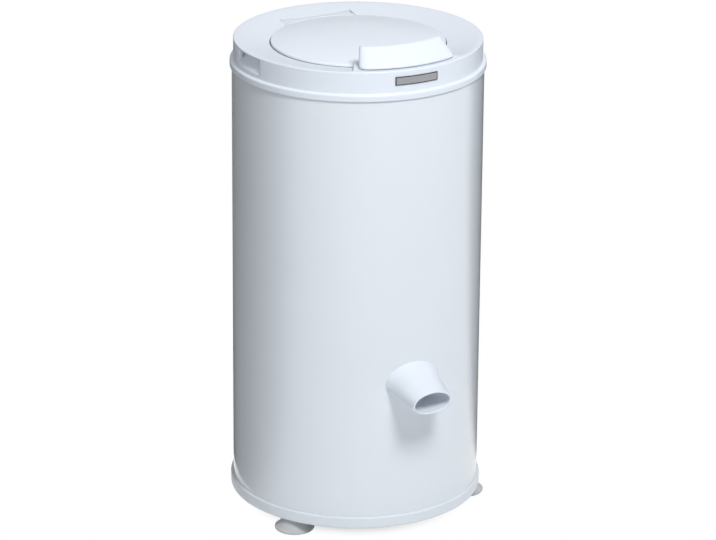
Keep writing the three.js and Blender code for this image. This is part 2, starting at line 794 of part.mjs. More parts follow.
const statorInner = rotorRadius + airGap;
const coreLow = motorLow + (motorHeight - coreHeight) / 2;
const coreTop = coreLow + coreHeight;
const shieldRimInner = motorRadius - shieldWall + fit;
const statorOuter = shieldRimInner - fit;
const shieldSplit = (coreLow + coreTop) / 2;
const neckInner = bearingRadius + fit;
const lowerBearingLow = motorLow + shieldWall + fit;
const upperBearingLow = neckTop - bearingHeight - 2;
const brakePivot = [leverX, leverPivotY];
const cableTab = { x: leverX - leverWidth / 2 - 10, y: leverReach[1] + 3 };

function motorCarrier() {
  const plate = post(carrierRadius, 0, 0, carrierLow, carrierTop, middling);
  const arms = Object.values(mountAngles).map((angle) => {
    const long = mountCircle + mountRadius + 2;
    const arm = new THREE.BoxGeometry(carrierArmWidth, long, carrierThickness);
    return solidOf(arm.translate(0, -long / 2, (carrierLow + carrierTop) / 2).rotateZ(radians(angle)));
  });
  const tabSheet = carrierThickness - 0.5;
  const tabArm = block([cableTab.x, leverX + 10], [cableTab.y - 6, leverPivotY], [carrierLow, carrierTop]);
  const tab = block([cableTab.x, cableTab.x + tabSheet], [cableTab.y - 6, cableTab.y + 6], [brakeLow, carrierTop]);
  const holes = Object.values(mountAngles).map((angle) =>
    post(screwRadius + fit, ...polar(mountCircle, angle), carrierLow - 1, carrierTop + 1, 12),
  );
  const boltHoles = Object.values(mountAngles).map((angle) =>
    post(screwRadius - 0.2, ...polar(motorBoltCircle, angle + 60), carrierLow - 1, carrierTop + 1, 12),
  );
  const middle = post(shaftRadius + 4, 0, 0, carrierLow - 1, carrierTop + 1, plain);
  const cableHole = crossBar(cableRadius + fit, cableTab.x - 4, cableTab.x + 8, cableTab.y, brakeMiddle, 10);
  return cut(join(plate, ...arms, tabArm, tab), middle, cableHole, ...holes, ...boltHoles);
}

function stator() {
  return turned([
    [statorInner, coreLow],
    [statorInner + 5, coreLow],
    [statorInner + 5, coreLow - windingOverhang],
    [statorOuter - 6, coreLow - windingOverhang],
    [statorOuter - 6, coreLow],
    [statorOuter, coreLow],
    [statorOuter, coreTop],
    [statorOuter - 6, coreTop],
    [statorOuter - 6, coreTop + windingOverhang],
    [statorInner + 5, coreTop + windingOverhang],
    [statorInner + 5, coreTop],
    [statorInner, coreTop],
  ], middling);
}

function lowerShield() {
  const housing = neckInner + 4;
  const shield = turned([
    [shaftRadius + 2, motorLow],
    [motorRadius, motorLow],
    [motorRadius, shieldSplit - fit / 2],
    [shieldRimInner, shieldSplit - fit / 2],
    [shieldRimInner, motorLow + shieldWall],
    [housing, motorLow + shieldWall],
    [housing, lowerBearingLow + bearingHeight],
    [neckInner, lowerBearingLow + bearingHeight],
    [neckInner, motorLow + shieldWall],
    [shaftRadius + 2, motorLow + shieldWall],
  ], middling);
  const boltHoles = Object.values(mountAngles).map((angle) =>
    post(screwRadius - 0.2, ...polar(motorBoltCircle, angle + 60), motorLow - 1, motorLow + shieldWall + 1, 12),
  );
  return cut(shield, ...boltHoles);
}

function upperShield() {
  return turned([
    [motorRadius, shieldSplit + fit / 2],
    [motorRadius, motorTop],
    [neckRadius, motorTop],
    [neckRadius, neckTop],
    [shaftRadius + 2, neckTop],
    [shaftRadius + 2, neckTop - 1.7],
    [neckInner, neckTop - 1.7],
    [neckInner, motorTop - shieldWall],
    [shieldRimInner, motorTop - shieldWall],
    [shieldRimInner, shieldSplit + fit / 2],
  ], middling);
}

function rubberMount() {
  const low = mountSeat + fit;
  const high = low + mountHeight;
  return turned([
    [screwRadius + fit, low],
    [mountRadius, low],
    [mountRadius - 2.5, (low + high) / 2],
    [mountRadius, high],
    [screwRadius + fit, high],
  ], middling);
}

const brakeMiddle = (brakeLow + brakeTop) / 2;
const headAbove = (radius, headRadius, seat, tip) =>
  turned([[0, tip], [radius, tip], [radius, seat], [headRadius, seat], [headRadius, seat + 4], [0, seat + 4]], plain);

add("motor_carrier", motorCarrier(), zinc);
addRound("rubber_mount", rubberMount(), blackRubber, mountCircle, mountAngles);
addRound("mount_bolt", headAbove(screwRadius, 6.5, carrierTop + fit, panTop + 3), zinc, mountCircle, mountAngles);
add("stator", stator(), steelCore);
add("rotor", tube(boreClear, rotorRadius, coreLow, coreTop, middling), steelCore);
add("lower_end_shield", lowerShield(), castAluminium);
add("upper_end_shield", upperShield(), castAluminium);
add("lower_bearing", tube(boreClear, bearingRadius, lowerBearingLow, lowerBearingLow + bearingHeight, middling), steelCore);
add("upper_bearing", tube(boreClear, bearingRadius, upperBearingLow, upperBearingLow + bearingHeight, middling), steelCore);
const motorBoltAngles = { 1: 60, 2: 180, 3: -60 };
const motorBolt = screw(screwRadius - 0.5, 4.5, carrierLow - fit - 3, carrierLow - fit, motorLow + shieldWall + 2);
addRound("motor_bolt", motorBolt, zinc, motorBoltCircle, motorBoltAngles);

// ---------------------------------------------------------------- brake

function brakeDrum() {
  return turned([
    [boreClear, brakeLow],
    [boreClear + 6, brakeLow],
    [boreClear + 6, brakeTop - 3],
    [brakeRadius - 4, brakeTop - 3],
    [brakeRadius - 4, brakeLow],
    [brakeRadius, brakeLow],
    [brakeRadius, brakeTop],
    [boreClear, brakeTop],
  ], middling);
}

const leverLow = brakeMiddle - leverThickness / 2;
const leverTop = brakeMiddle + leverThickness / 2;
const pivotPin = 3;

function brakeLever() {
  const x = [leverX - leverWidth / 2, leverX + leverWidth / 2];
  const arm = block(x, [leverReach[1], leverReach[0]], [leverLow, leverTop]);
  return cut(arm, post(pivotPin + fit, ...brakePivot, leverLow - 1, leverTop + 1));
}

function brakeShoe() {
  const x = [leverX + leverWidth / 2 + fit, leverX + leverWidth / 2 + 9];
  const pad = block(x, [-leverReach[0] + 3, leverReach[0] - 3], [leverLow, leverTop]);
  return cut(pad, post(brakeRadius + brakeGap, 0, 0, leverLow - 1, leverTop + 1, fine));
}

function pivotPost() {
  const shoulder = leverTop + 2.7;
  return turned([
    [0, leverLow - fit - 3],
    [pivotPin + 2, leverLow - fit - 3],
    [pivotPin + 2, leverLow - fit],
    [pivotPin, leverLow - fit],
    [pivotPin, shoulder],
    [pivotPin + 3, shoulder],
    [pivotPin + 3, carrierLow - fit],
    [0, carrierLow - fit],
  ], plain);
}

const brakeAt = { x: brakePivot[0], y: brakePivot[1] };
add("brake_drum", brakeDrum(), steelCore);
add("brake_lever", brakeLever(), zinc);
add("brake_shoe", brakeShoe(), frictionPad);
add("brake_pivot", pivotPost(), zinc, brakeAt);
add("brake_spring", tube(pivotPin + fit, pivotPin + 2.6, leverTop + fit, leverTop + 2.4, 16), steelCore, brakeAt);

// ---------------------------------------------------------------- interlock under the plateau

const plungerLow = bracketTop + fit;
const plungerHigh = handleLow - 0.4;
const collarLow = plungerLow + 10;
const springInner = plungerRadius + 0.5;

function plunger() {
  return turned([
    [0, plungerLow],
    [plungerRadius, plungerLow],
    [plungerRadius, collarLow],
    [plungerCollarRadius, collarLow],
    [plungerCollarRadius, collarLow + 2.5],
    [plungerRadius, collarLow + 2.5],
    [plungerRadius, plungerHigh],
    [0, plungerHigh],
  ], plain);
}

function switchBracket() {
  const [innerPost, outerPost] = bracketPosts.map(([inset, angle]) => polar(plungerCircle - inset, angle));
  const x = [innerPost[0] - 5, outerPost[0] + 5];
  const y = [Math.min(innerPost[1], outerPost[1], plungerXY[1]) - 6, Math.max(innerPost[1], outerPost[1]) + 5];
  const plate = block(x, y, [bracketLow, bracketTop]);
  const inside = post(collarInner - runningGap, 0, 0, bracketLow - 1, bracketTop + 1, fine);
  return cut(plate.intersect(inside), post(cableRadius - 0.4, ...plungerXY, bracketLow - 1, bracketTop + 1, 12));
}

const switchX = plungerXY[0] + plungerCollarRadius + 1;
const switchY = plungerXY[1];
const microswitch = block([switchX, switchX + switchSize[0]], [switchY - switchSize[1] / 2, switchY + switchSize[1] / 2],
  [bracketTop + fit, bracketTop + fit + switchSize[2]]);

add("switch_bracket", switchBracket(), zinc);
add("interlock_plunger", plunger(), blackPlastic, { x: plungerXY[0], y: plungerXY[1] });
add("plunger_spring", tube(springInner, springInner + 1.6, bracketTop + fit, collarLow - fit, 16), zinc,
  { x: plungerXY[0], y: plungerXY[1] });
add("microswitch", microswitch, blackPlastic);

// The brake cable: from the bracket out over the tub's flange, down between tub and casing, and in to the tab.
const cableRing = tubRadius + cableRadius + 2;
const at = (radius, angle, height) => new THREE.Vector3(...polar(radius, angle), height);
const cableEnd = new THREE.Vector3(cableTab.x + 4, cableTab.y, brakeMiddle);
const cableRoute = [
  at(plungerCircle, plungerAngle, bracketLow - fit),
  at(plungerCircle, plungerAngle, bracketLow - 4),
  at(plungerCircle + 5, plungerAngle - 3, bracketLow - 8),
  at(tubRadius - 0.5, -24, splashTop + 4),
  at(tubRadius + cableRadius + 0.5, -26, splashTop - 2),
  at(tubRadius + cableRadius + 0.5, -26.2, flangeLow - 4),
  at(cableRing, -28, flangeLow - 40),
  at(cableRing, -32, flangeLow - 120),
  at(cableRing, -38, tubLow + 160),
  at(cableRing, -44, tubLow + 40),
  at(cableRing, -48, tubLow - 40),
  at(cableRing - 4, -51, brakeMiddle + 52),
  at(cableRing - 16, -52, brakeMiddle + 22),
  at(cableRing - 38, -49, brakeMiddle + 4),
  new THREE.Vector3(cableTab.x - 14, cableTab.y - 1, brakeMiddle),
  new THREE.Vector3(cableTab.x - 6, cableTab.y, brakeMiddle),
  cableEnd,
];

function brakeCable() {
  const route = new THREE.CatmullRomCurve3(cableRoute, false, "centripetal");
  const section = new THREE.Shape();
  section.absarc(0, 0, cableRadius, 0, 2 * Math.PI, false);
  const settings = { steps: 44, extrudePath: route, curveSegments: 4, bevelEnabled: false };
  return solidOf(new THREE.ExtrudeGeometry(section, settings));
}

add("brake_cable", brakeCable(), blackPlastic);

// ---------------------------------------------------------------- electrical pieces at the back

function terminalCase() {
  const { halfWidth, depth, height, angle } = terminalBox;
  const box = new THREE.BoxGeometry(2 * halfWidth, 2 * depth, height);
  box.translate(0, -casingInner, inletHeight + height / 2 - 10).rotateZ(radians(angle));
  return solidOf(box).intersect(post(casingInner - fit, 0, 0, panTop, tubLow, fine));
}

// The gland in the casing that the supply lead goes through.
function cordGrommet() {
  const outside = bodyRadius + fit;
  const profile = [
    [inletBore, casingInner - 6],
    [inletRadius - fit, casingInner - 6],
    [inletRadius - fit, outside],
    [inletRadius + 4, outside],
    [inletRadius + 3, outside + 2.6],
    [inletBore, outside + 2.6],
  ];
  const points = [...profile, profile[0]].map(([r, y]) => new THREE.Vector2(r, y));
  return solidOf(new THREE.LatheGeometry(points, plain).translate(0, 0, inletHeight));
}

const capacitor = turned([
  [0, panTop + fit],
  [capacitorRadius, panTop + fit],
  [capacitorRadius, panTop + fit + capacitorHeight - 2],
  [capacitorRadius - 2, panTop + fit + capacitorHeight],
  [0, panTop + fit + capacitorHeight],
], middling);

add("terminal_box", terminalCase(), blackPlastic);
add("cord_grommet", cordGrommet(), blackRubber);
add("capacitor", capacitor, greyPlate, { x: capacitorXY[0], y: capacitorXY[1] });

// ---------------------------------------------------------------- lid

const lidInnerRadius = lidRadius - lidWall - 0.5;

function handleEar(side) {
  const [x0, x1] = mirrored(pivotEarX, side);
  const y = [-pivotFront - pivotEarRadius, -pivotFront + pivotEarRadius];
  const root = block([x0, x1], [y[0], y[1] + 2], [lidRimTop - 2.5, pivotHeight - 3]);
  const foot = root.intersect(post(lidRadius, 0, 0, lidLow, pivotHeight, fine));
  const neck = block([x0, x1], y, [coverTop + 0.8, pivotHeight]);
  const eye = join(neck, crossBar(pivotEarRadius, x0, x1, -pivotFront, pivotHeight));
  return cut(join(foot, eye), crossBar(pivotPinRadius + fit, x0 - 1, x1 + 1, -pivotFront, pivotHeight));
}

function hingeArm(side) {
  const [x0, x1] = mirrored(hingeArmX, side);
  const strap = block([x0, x1], [0, hingeBack], [hingeHeight - hingeArmHalf, hingeHeight + hingeArmHalf]);
  const eye = join(strap, crossBar(hingeEyeRadius, x0, x1, hingeBack, hingeHeight));
  const inside = post(lidInnerRadius, 0, 0, lidLow - 1, lidTop, fine);
  return cut(eye, inside, crossBar(hingePinRadius + fit, x0 - 1, x1 + 1, hingeBack, hingeHeight));
}

// The flap behind the lid that covers the hinge's pocket.
function hingeFlap() {
  const half = pocketHalfWidth - flapMargin;
  const low = hingeHeight + hingeEyeRadius + fit;
  const flap = block([-half, half], [0, hingeBack + flapReach], [low, low + flapThickness]);
  return cut(flap, post(lidInnerRadius + 1, 0, 0, lidLow, lidTop, fine));
}

function lidOuter() {
  const shell = turned([
    [lidInnerRadius, lidLow],
    [lidRadius, lidLow],
    [lidRadius, lidRimTop - 2],
    [lidRadius - 1.5, lidRimTop],
    [lidRadius * 0.75, lidRimTop + lidCrown * 0.55],
    [lidRadius * 0.38, lidTop - lidCrown * 0.11],
    [0, lidTop],
    [0, lidTop - lidWall],
    [lidRadius * 0.38, lidTop - lidCrown * 0.11 - lidWall],
    [lidRadius * 0.75, lidRimTop + lidCrown * 0.55 - lidWall],
    [lidInnerRadius, lidRimTop - lidWall],
  ]);
  return join(shell, handleEar(1), handleEar(-1), hingeArm(1), hingeArm(-1), hingeFlap());
}

// The inner panel: a flange under the lid's rim and a dish that reaches into the throat.
function lidInner() {
  const dish = throatRadius - runningGap - 1;
  const dishLow = ledgeTop - 3;
  return turned([
    [0, dishLow],
    [dish - 6, dishLow],
    [dish, lidLow],
    [lidInnerRadius - fit, lidLow],
    [lidInnerRadius - fit, lidLow + lidWall],
    [dish - 1, lidLow + lidWall],
    [dish - 7, dishLow + lidWall],
    [0, dishLow + lidWall],
  ]);
}

const pinPlay = 0.7;
add("lid_outer", lidOuter(), whitePlastic);
add("lid_inner", lidInner(), tubPlastic);
const gasketLow = ledgeTop + fit;
add("lid_gasket", tube(throatRadius + 1, lidInnerRadius - 1, gasketLow, gasketLow + gasketHeight, middling), blackRubber);
add("lid_hinge_pin", crossBar(hingePinRadius, -hingeEarX[1] - 1, hingeEarX[1] + 1, hingeBack, hingeHeight), zinc);

// ---------------------------------------------------------------- handle and hook

const handleSocketX = [pivotEarX[1] + 1.4, pivotEarX[1] + 5.3];
const handleSides = 48;
const wallAngle = (handleWall / handleInner) * (180 / Math.PI);
const toeHalf = 2.5;

// An upright block that holds all between two angles from the front, less its outer corners.
function handlePlan(halfAngle, corner, low, high) {
  const reach = handleOuter + 3;
  const cutAngle = halfAngle - (corner / handleOuter) * (180 / Math.PI);
  const outline = [polar(handleInner - 2, -halfAngle), polar(handleOuter - corner, -halfAngle)];
  for (let i = 0; i <= 6; i++) outline.push(polar(reach, cutAngle * (i / 3 - 1)));
  outline.push(polar(handleOuter - corner, halfAngle), polar(handleInner - 2, halfAngle));
  const shape = new THREE.Shape(outline.map(([x, y]) => new THREE.Vector2(x, y)));
  const geometry = new THREE.ExtrudeGeometry(shape, { depth: high - low, bevelEnabled: false });
  return solidOf(geometry.translate(0, 0, low));
}

// A hollow ridge whose front slopes from its top out to the plateau.
function handleShell() {
  const outside = turned([
    [handleInner, handleLow],
    [handleOuter, handleLow],
    [handleOuter, handleLow + 2],
    [ridgeOuter + 1.5, handleTop - 1.2],
    [ridgeOuter - 1, handleTop],
    [ridgeInner + 1.5, handleTop],
    [ridgeInner - 0.5, handleTop - 1.5],
    [handleInner, handleLow + 3],
  ], handleSides).intersect(handlePlan(handleHalfAngle, handleCorner, handleLow, handleTop + 1));
  const inner = handleInner + handleWall;
  const hollow = turned([
    [inner + 0.3, handleLow - 1],
    [handleOuter - handleWall, handleLow - 1],
    [handleOuter - handleWall, handleLow + 0.9],
    [ridgeOuter, handleTop - handleWall - 0.3],
    [ridgeInner + handleWall - 0.2, handleTop - handleWall - 0.3],
    [inner + 0.3, handleLow + 2.9],
  ], handleSides).intersect(handlePlan(handleHalfAngle - wallAngle, handleCorner + 2, handleLow - 2, handleTop));
  const notches = [1, -1].map((side) => {
    const [x0, x1] = mirrored([pivotEarX[0] - 2, pivotEarX[1] + 2], side);
    return block([x0, x1], [-inner - 1, -handleInner + 30], [handleLow - 1, pivotHeight + pivotEarRadius + 2]);
  });
  const sockets = [1, -1].map((side) => crossBar(4, ...mirrored(handleSocketX, side), -pivotFront, pivotHeight));
  const toe = block([plungerXY[0] - toeHalf, plungerXY[0] + toeHalf], [plungerXY[1] - toeHalf, plungerXY[1] + toeHalf],
    [handleLow, handleTop]);
  const cheeks = [1, -1].map((side) => {
    const x = mirrored([hookThickness / 2 + fit, hookThickness / 2 + fit + 3], side);
    return block(x, [-hookFront - 2, -hookFront + hookDepth + 2], [coverTop + 4, handleTop]).intersect(outside);
  });
  const pinHoles = [1, -1].map((side) => {
    const x = mirrored([handleSocketX[0] - 1, handleSocketX[1] - pinPlay / 2], side);
    return crossBar(pivotPinRadius + fit, ...x, -pivotFront, pivotHeight);
  });
  const below = post(bodyRadius, 0, 0, handleLow - handleHeight, handleLow, plain);
  return cut(join(cut(outside, hollow, ...notches), ...sockets, toe.intersect(outside), ...cheeks), below, ...pinHoles);
}

function latchHook() {
  const half = hookThickness / 2;
  const low = coverTop - hookLength;
  const shank = block([-half, half], [-hookFront, -hookFront + hookDepth], [low, handleTop - hookHeadroom]);
  const nose = block([-half, half], [-hookFront + 1, -wellRadius - coverWall - 0.6], [low, low + 4]);
  return join(shank, nose);
}

add("lid_handle", handleShell(), whitePlastic);
add("latch_hook", latchHook(), zinc);
for (const [label, side] of [["right", 1], ["left", -1]]) {
  const x = mirrored([pivotEarX[0] - 0.5, handleSocketX[1] - pinPlay], side);
  add(`handle_pin_${label}`, crossBar(pivotPinRadius, ...x, -pivotFront, pivotHeight), zinc);
}

// The drum's axis stands behind the middle, so that the spout's tip and the rear foot are as far from it.
const rearReach = Math.max(footCircle + footRadius, bodyRadius + fit + 2.6, rimRadius);
const frontReach = -new THREE.Box3().setFromObject(machine).min.y;
machine.position.y = (frontReach - rearReach) / 2;

const spinDryer = new THREE.Group();
spinDryer.add(machine);

export default spinDryer;
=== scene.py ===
"""A free-standing laundry spin dryer, dressed over its CAD frame.

Shapes are worked out as numpy arrays in millimetres about the drum's axis, with the front at -Y, and go into the
mesh in metres in the frame's own axes.
"""

import json
import math

import bpy
import numpy as np
from mathutils import Matrix, Vector


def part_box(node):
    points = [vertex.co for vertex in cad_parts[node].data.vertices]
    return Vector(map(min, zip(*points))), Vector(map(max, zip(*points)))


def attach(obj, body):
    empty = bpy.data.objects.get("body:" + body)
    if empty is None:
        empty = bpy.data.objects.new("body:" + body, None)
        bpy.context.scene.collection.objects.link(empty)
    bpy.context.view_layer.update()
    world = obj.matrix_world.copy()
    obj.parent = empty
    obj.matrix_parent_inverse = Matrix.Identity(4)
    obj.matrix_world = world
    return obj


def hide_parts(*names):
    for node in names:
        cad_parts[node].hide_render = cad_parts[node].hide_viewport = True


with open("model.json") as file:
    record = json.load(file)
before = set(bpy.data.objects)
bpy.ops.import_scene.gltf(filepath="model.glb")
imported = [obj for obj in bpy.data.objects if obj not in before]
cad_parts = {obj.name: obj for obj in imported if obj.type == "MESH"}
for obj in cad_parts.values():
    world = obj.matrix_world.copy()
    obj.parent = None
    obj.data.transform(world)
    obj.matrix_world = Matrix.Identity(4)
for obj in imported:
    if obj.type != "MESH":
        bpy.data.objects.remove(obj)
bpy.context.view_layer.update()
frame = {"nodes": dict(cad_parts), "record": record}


# ---- measures in millimetres, from the frame where it gives them


def heights(node):
    """Lowest and highest point of a CAD node, in millimetres."""
    return [corner.z * 1000 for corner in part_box(node)]


def half_width(node):
    """How far a CAD node goes out along +X, in millimetres."""
    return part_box(node)[1].x * 1000


AXIS = np.array([0, 500 * (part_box("drum")[0].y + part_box("drum")[1].y), 0])  # the drum's axis in the frame
FIT = 0.3  # clearance between pieces that fit together
SKIN = 3  # thickness of the mouldings' walls
BODY = half_width("outer_casing")  # casing's outer radius
RIM = half_width("base_pan")  # base rim's radius
BAND = half_width("top_cover")  # cover's band radius
COLLAR = BAND - 4.9  # cover's collar radius
PAN_LOW = heights("base_pan")[0]
RIM_TOP = PAN_LOW + 15.9  # top of the base rim, outside the casing
SKIRT_LOW, COVER_TOP = heights("top_cover")
BAND_LOW = SKIRT_LOW + 4.9  # the band laps over the casing's top edge
BAND_TOP = BAND_LOW + 8.9
BEAD = COLLAR - 7.4  # inner radius of the cover's outer bead
WELL = 121.0  # radius of the well that the lid lies in
THROAT = 106.0  # radius of the opening over the drum
RING_LOW = COVER_TOP - 8.4  # height of the cover's ring at the well
LEDGE = RING_LOW - 8.0  # height of the ledge that the lid's seal rests on
LID = 119.5  # lid's radius
LID_LOW = heights("lid_outer")[0]
HINGE_BACK, HINGE_HEIGHT = HINGE = 127.0, COVER_TOP - 10.2  # lid's axis, in y and z
PIVOT_Y, PIVOT_HEIGHT = PIVOT = -110.0, COVER_TOP + 4.6  # handle's axis, in y and z
GRIP_TOP = COVER_TOP - 3.0  # the grip recesses in the collar's sides
GRIP_LOW = GRIP_TOP - 21.4
GRIP_BACK = COLLAR - 14.0  # radius of their back
HANDLE_LOW, HANDLE_TOP = heights("lid_handle")
TUB_LOW = heights("water_tub")[0]
DRUM_LOW, DRUM_TOP = heights("drum")
PLATE_LOW, PLATE_TOP, PLATE_HALF_ANGLE = COVER_TOP - 19.6, COVER_TOP - 7.9, 10.6
PLUNGER_CIRCLE = 150  # radius at which the interlock's plunger stands


# ---- surfaces


def around(count, more=()):
    """Angles from the front in radians: count even steps round the circle, and the extra ones given in degrees."""
    even = np.arange(count) * 2 * np.pi / count
    return np.unique(np.round(np.concatenate([even, np.radians(np.asarray(more, float)) % (2 * np.pi)]), 6))


def polar(radius, angle, height):
    """Points (radius sin angle, -radius cos angle, height): the angle runs from the front towards +X."""
    radius, angle, height = np.broadcast_arrays(radius, angle, height)
    return np.stack([radius * np.sin(angle), -radius * np.cos(angle), height], axis=-1)


def smooth(x, low, high):
    """0 below low, 1 above high, and the cubic 3t^2 - 2t^3 between them, with t the share of the way."""
    t = np.clip((x - low) / (high - low), 0, 1)
    return t * t * (3 - 2 * t)


def unit(v):
    """Vectors brought to length 1, and the lengths they had."""
    length = np.linalg.norm(v, axis=-1, keepdims=True) + 1e-9
    return v / length, length


def rounded(corners, radii, steps=5, closed=True):
    """A polyline's corners turned to arcs. corners is (corner, ..., 2) and may vary along further axes.

    At a corner with sides along the unit vectors a and b and half the angle between them h, the arc of radius r
    begins r / tan h along a and ends as far along b, and its centre lies r / sin h along a + b. r is held to what
    the shorter side has room for. A short straight is kept on each side of the arc, so the shading stays flat there.
    A corner whose radius is 0 stays one point.
    """
    corners = np.asarray(corners, float)
    count = len(corners)
    rows = []
    for i in range(count):
        here = corners[i]
        if np.all(radii[i] == 0) or not closed and i in (0, count - 1):
            rows.append(here[None])
            continue
        (a, long_a), (b, long_b) = unit(corners[i - 1] - here), unit(corners[(i + 1) % count] - here)
        half = np.arccos(np.clip((a * b).sum(-1, keepdims=True), -1, 1)) / 2
        straight = half > math.radians(89.3)
        slope = np.tan(np.clip(half, 0.05, 1.5))
        reach = np.minimum(radii[i] / slope, 0.45 * np.minimum(long_a, long_b))
        radius = reach * slope
        centre = here + unit(a + b)[0] * radius / np.sin(np.clip(half, 0.05, 1.57))
        pad = 0.12 * reach + 1e-4
        t = np.linspace(0, 1, steps + 1).reshape(-1, *([1] * here.ndim))
        first, last = here + a * reach - centre, here + b * reach - centre
        sweep = np.pi - 2 * half
        weight = np.sin(np.clip(sweep, 1e-3, None))
        arc = centre + (np.sin((1 - t) * sweep) * first + np.sin(t * sweep) * last) / weight
        along = here + a * reach * (1 - t) + b * reach * t
        arc = np.where(straight | (sweep < 0.02) | (sweep > 3.1), along, arc)
        rows.append(np.concatenate([(here + a * (reach + pad))[None], arc, (here + b * (reach + pad))[None]]))
    return np.concatenate(rows)


def section(rows, steps=5, closed=True):
    """Rows of (across, up, corner radius) as one rounded line. Across and up may be arrays along a further axis."""
    across, up, radii = zip(*rows)
    lines = np.broadcast_arrays(*across, *up)
    corners = np.stack([np.stack(lines[: len(rows)]), np.stack(lines[len(rows) :])], -1)
    return rounded(corners, radii, steps, closed)


def oblong(inner, outer, low, high, edge, steps):
    """A rectangle with round corners as one line."""
    return section([(inner, low, edge), (outer, low, edge), (outer, high, edge), (inner, high, edge)], steps)


def grid_faces(rows, columns, wrap_rows, wrap_columns):
    """Four corner indices of each cell of a grid that may close on itself along either side."""
    i = np.arange(rows if wrap_rows else rows - 1)[:, None]
    j = np.arange(columns if wrap_columns else columns - 1)[None]
    i2, j2 = (i + 1) % rows, (j + 1) % columns
    return np.stack([i * columns + j, i * columns + j2, i2 * columns + j2, i2 * columns + j], -1).reshape(-1, 4)


def mesh_piece(name, parts, finish, sharp=40.0):
    """One object from parts of (points, four-cornered faces, rims of flat caps).

    Points that coincide are merged, faces that lose a corner become triangles or go, and a part whose signed volume,
    the sum of p0 . (p1 x p2) / 6 over its fans, is negative is turned round.
    """
    vertices, polygons, start = [], [], 0
    for points, faces, *rims in parts:
        unique, index = np.unique(np.round(points.reshape(-1, 3), 4), axis=0, return_inverse=True)
        index = index.reshape(-1)
        faces = index[faces]
        same = faces == np.roll(faces, -1, axis=1)
        once = same.sum(1) == 1
        triangles = faces[once][~same[once]].reshape(-1, 3)
        groups = [faces[~same.any(1)], triangles] + [index[rim][None] for rim in rims]
        volume = 0.0
        for group in groups:
            for k in range(1, group.shape[1] - 1):
                p, q, r = unique[group[:, 0]], unique[group[:, k]], unique[group[:, k + 1]]
                volume += np.einsum("ij,ij->", p, np.cross(q, r))
        turn = slice(None, None, -1) if volume < 0 else slice(None)
        polygons += [group[:, turn] + start for group in groups if len(group)]
        vertices.append(unique)
        start += len(unique)
    vertices = (np.concatenate(vertices) + AXIS) / 1000
    loops = np.concatenate([group.ravel() for group in polygons])
    sizes = np.concatenate([np.full(len(group), group.shape[1]) for group in polygons])
    mesh = bpy.data.meshes.new(name)
    mesh.vertices.add(len(vertices))
    mesh.vertices.foreach_set("co", vertices.astype(np.float32).ravel())
    mesh.loops.add(len(loops))
    mesh.loops.foreach_set("vertex_index", loops.astype(np.int32))
    mesh.polygons.add(len(sizes))
    mesh.polygons.foreach_set("loop_start", (np.cumsum(sizes) - sizes).astype(np.int32))
    mesh.update(calc_edges=True)
    mesh.validate()
    mesh.shade_smooth()
    mesh.set_sharp_from_angle(angle=math.radians(sharp))
    piece = bpy.data.objects.new(name, mesh)
    bpy.context.scene.collection.objects.link(piece)
    mesh.materials.append(finish)
    return piece


def turned(profile, angles=None, count=192):
    """A closed profile of (radius, height) points carried round the drum's axis: (r sin a, -r cos a, z)."""
    angles = around(count) if angles is None else angles
    profile = np.asarray(profile, float)
    if profile.ndim == 2:
        profile = profile[:, None]
    points = polar(profile[..., 0], angles[None], profile[..., 1])
    return points, grid_faces(len(profile), len(angles), True, True)


def placed(part, move=(0, 0, 0), turn=0.0):
    """A part turned about the vertical axis by an angle from the front, then moved."""
    points, *rest = part
    c, s = math.cos(turn), math.sin(turn)
    x, y, z = np.moveaxis(points, -1, 0)
    return np.stack([x * c - y * s, x * s + y * c, z], -1) + np.asarray(move, float), *rest


def bar(radius, start, end, round_off=0.4, count=32, bore=0.0):
    """A round bar between two points with rounded ends: the point at angle t and station s is
    start + axis * along(s) + radius(s) * (u cos t + v sin t). A bore makes it a tube."""
    start, end = np.asarray(start, float), np.asarray(end, float)
    axis = end - start
    length = np.linalg.norm(axis)
    axis = axis / length
    u = np.cross(axis, [0.3, 0.5, 0.8])
    u = u / np.linalg.norm(u)
    v = np.cross(axis, u)
    inside = round_off / 2 if bore else 0
    rows = [(bore, 0, inside), (radius, 0, round_off), (radius, length, round_off), (bore, length, inside)]
    profile = section(rows, 3)
    t = np.arange(count) * 2 * np.pi / count
    ring = np.cos(t)[:, None] * u + np.sin(t)[:, None] * v
    points = start + profile[:, None, 1:] * axis + profile[:, None, :1] * ring
    return points, grid_faces(len(profile), count, True, True)


def cross_bar(radius, near, far, place, *more):
    """A bar along X from near to far at a place in y and z."""
    return bar(radius, (near, *place), (far, *place), *more)


def post(radius, circle, degrees, low, high, *more, **named):
    """An upright bar at an angle on a circle about the drum's axis."""
    x, y, _ = polar(circle, math.radians(degrees), 0)
    return bar(radius, (x, y, low), (x, y, high), *more, **named)


def rim_steps(low, high, edge):
    """Stations from low to high with how far an outline is drawn in at each: edge (1 - sin t) at low + edge (1 -
    cos t) for a quarter turn t, and the same at the other end, with one more ring inside each flat face."""
    t = np.linspace(0, np.pi / 2, 5)
    inset, along = edge * (1 - np.sin(t)), edge * (1 - np.cos(t))
    at = np.concatenate([[low], low + along, (high - along)[::-1], [high]])
    return at, np.concatenate([[1.5 * edge], inset, inset[::-1], [1.5 * edge]])


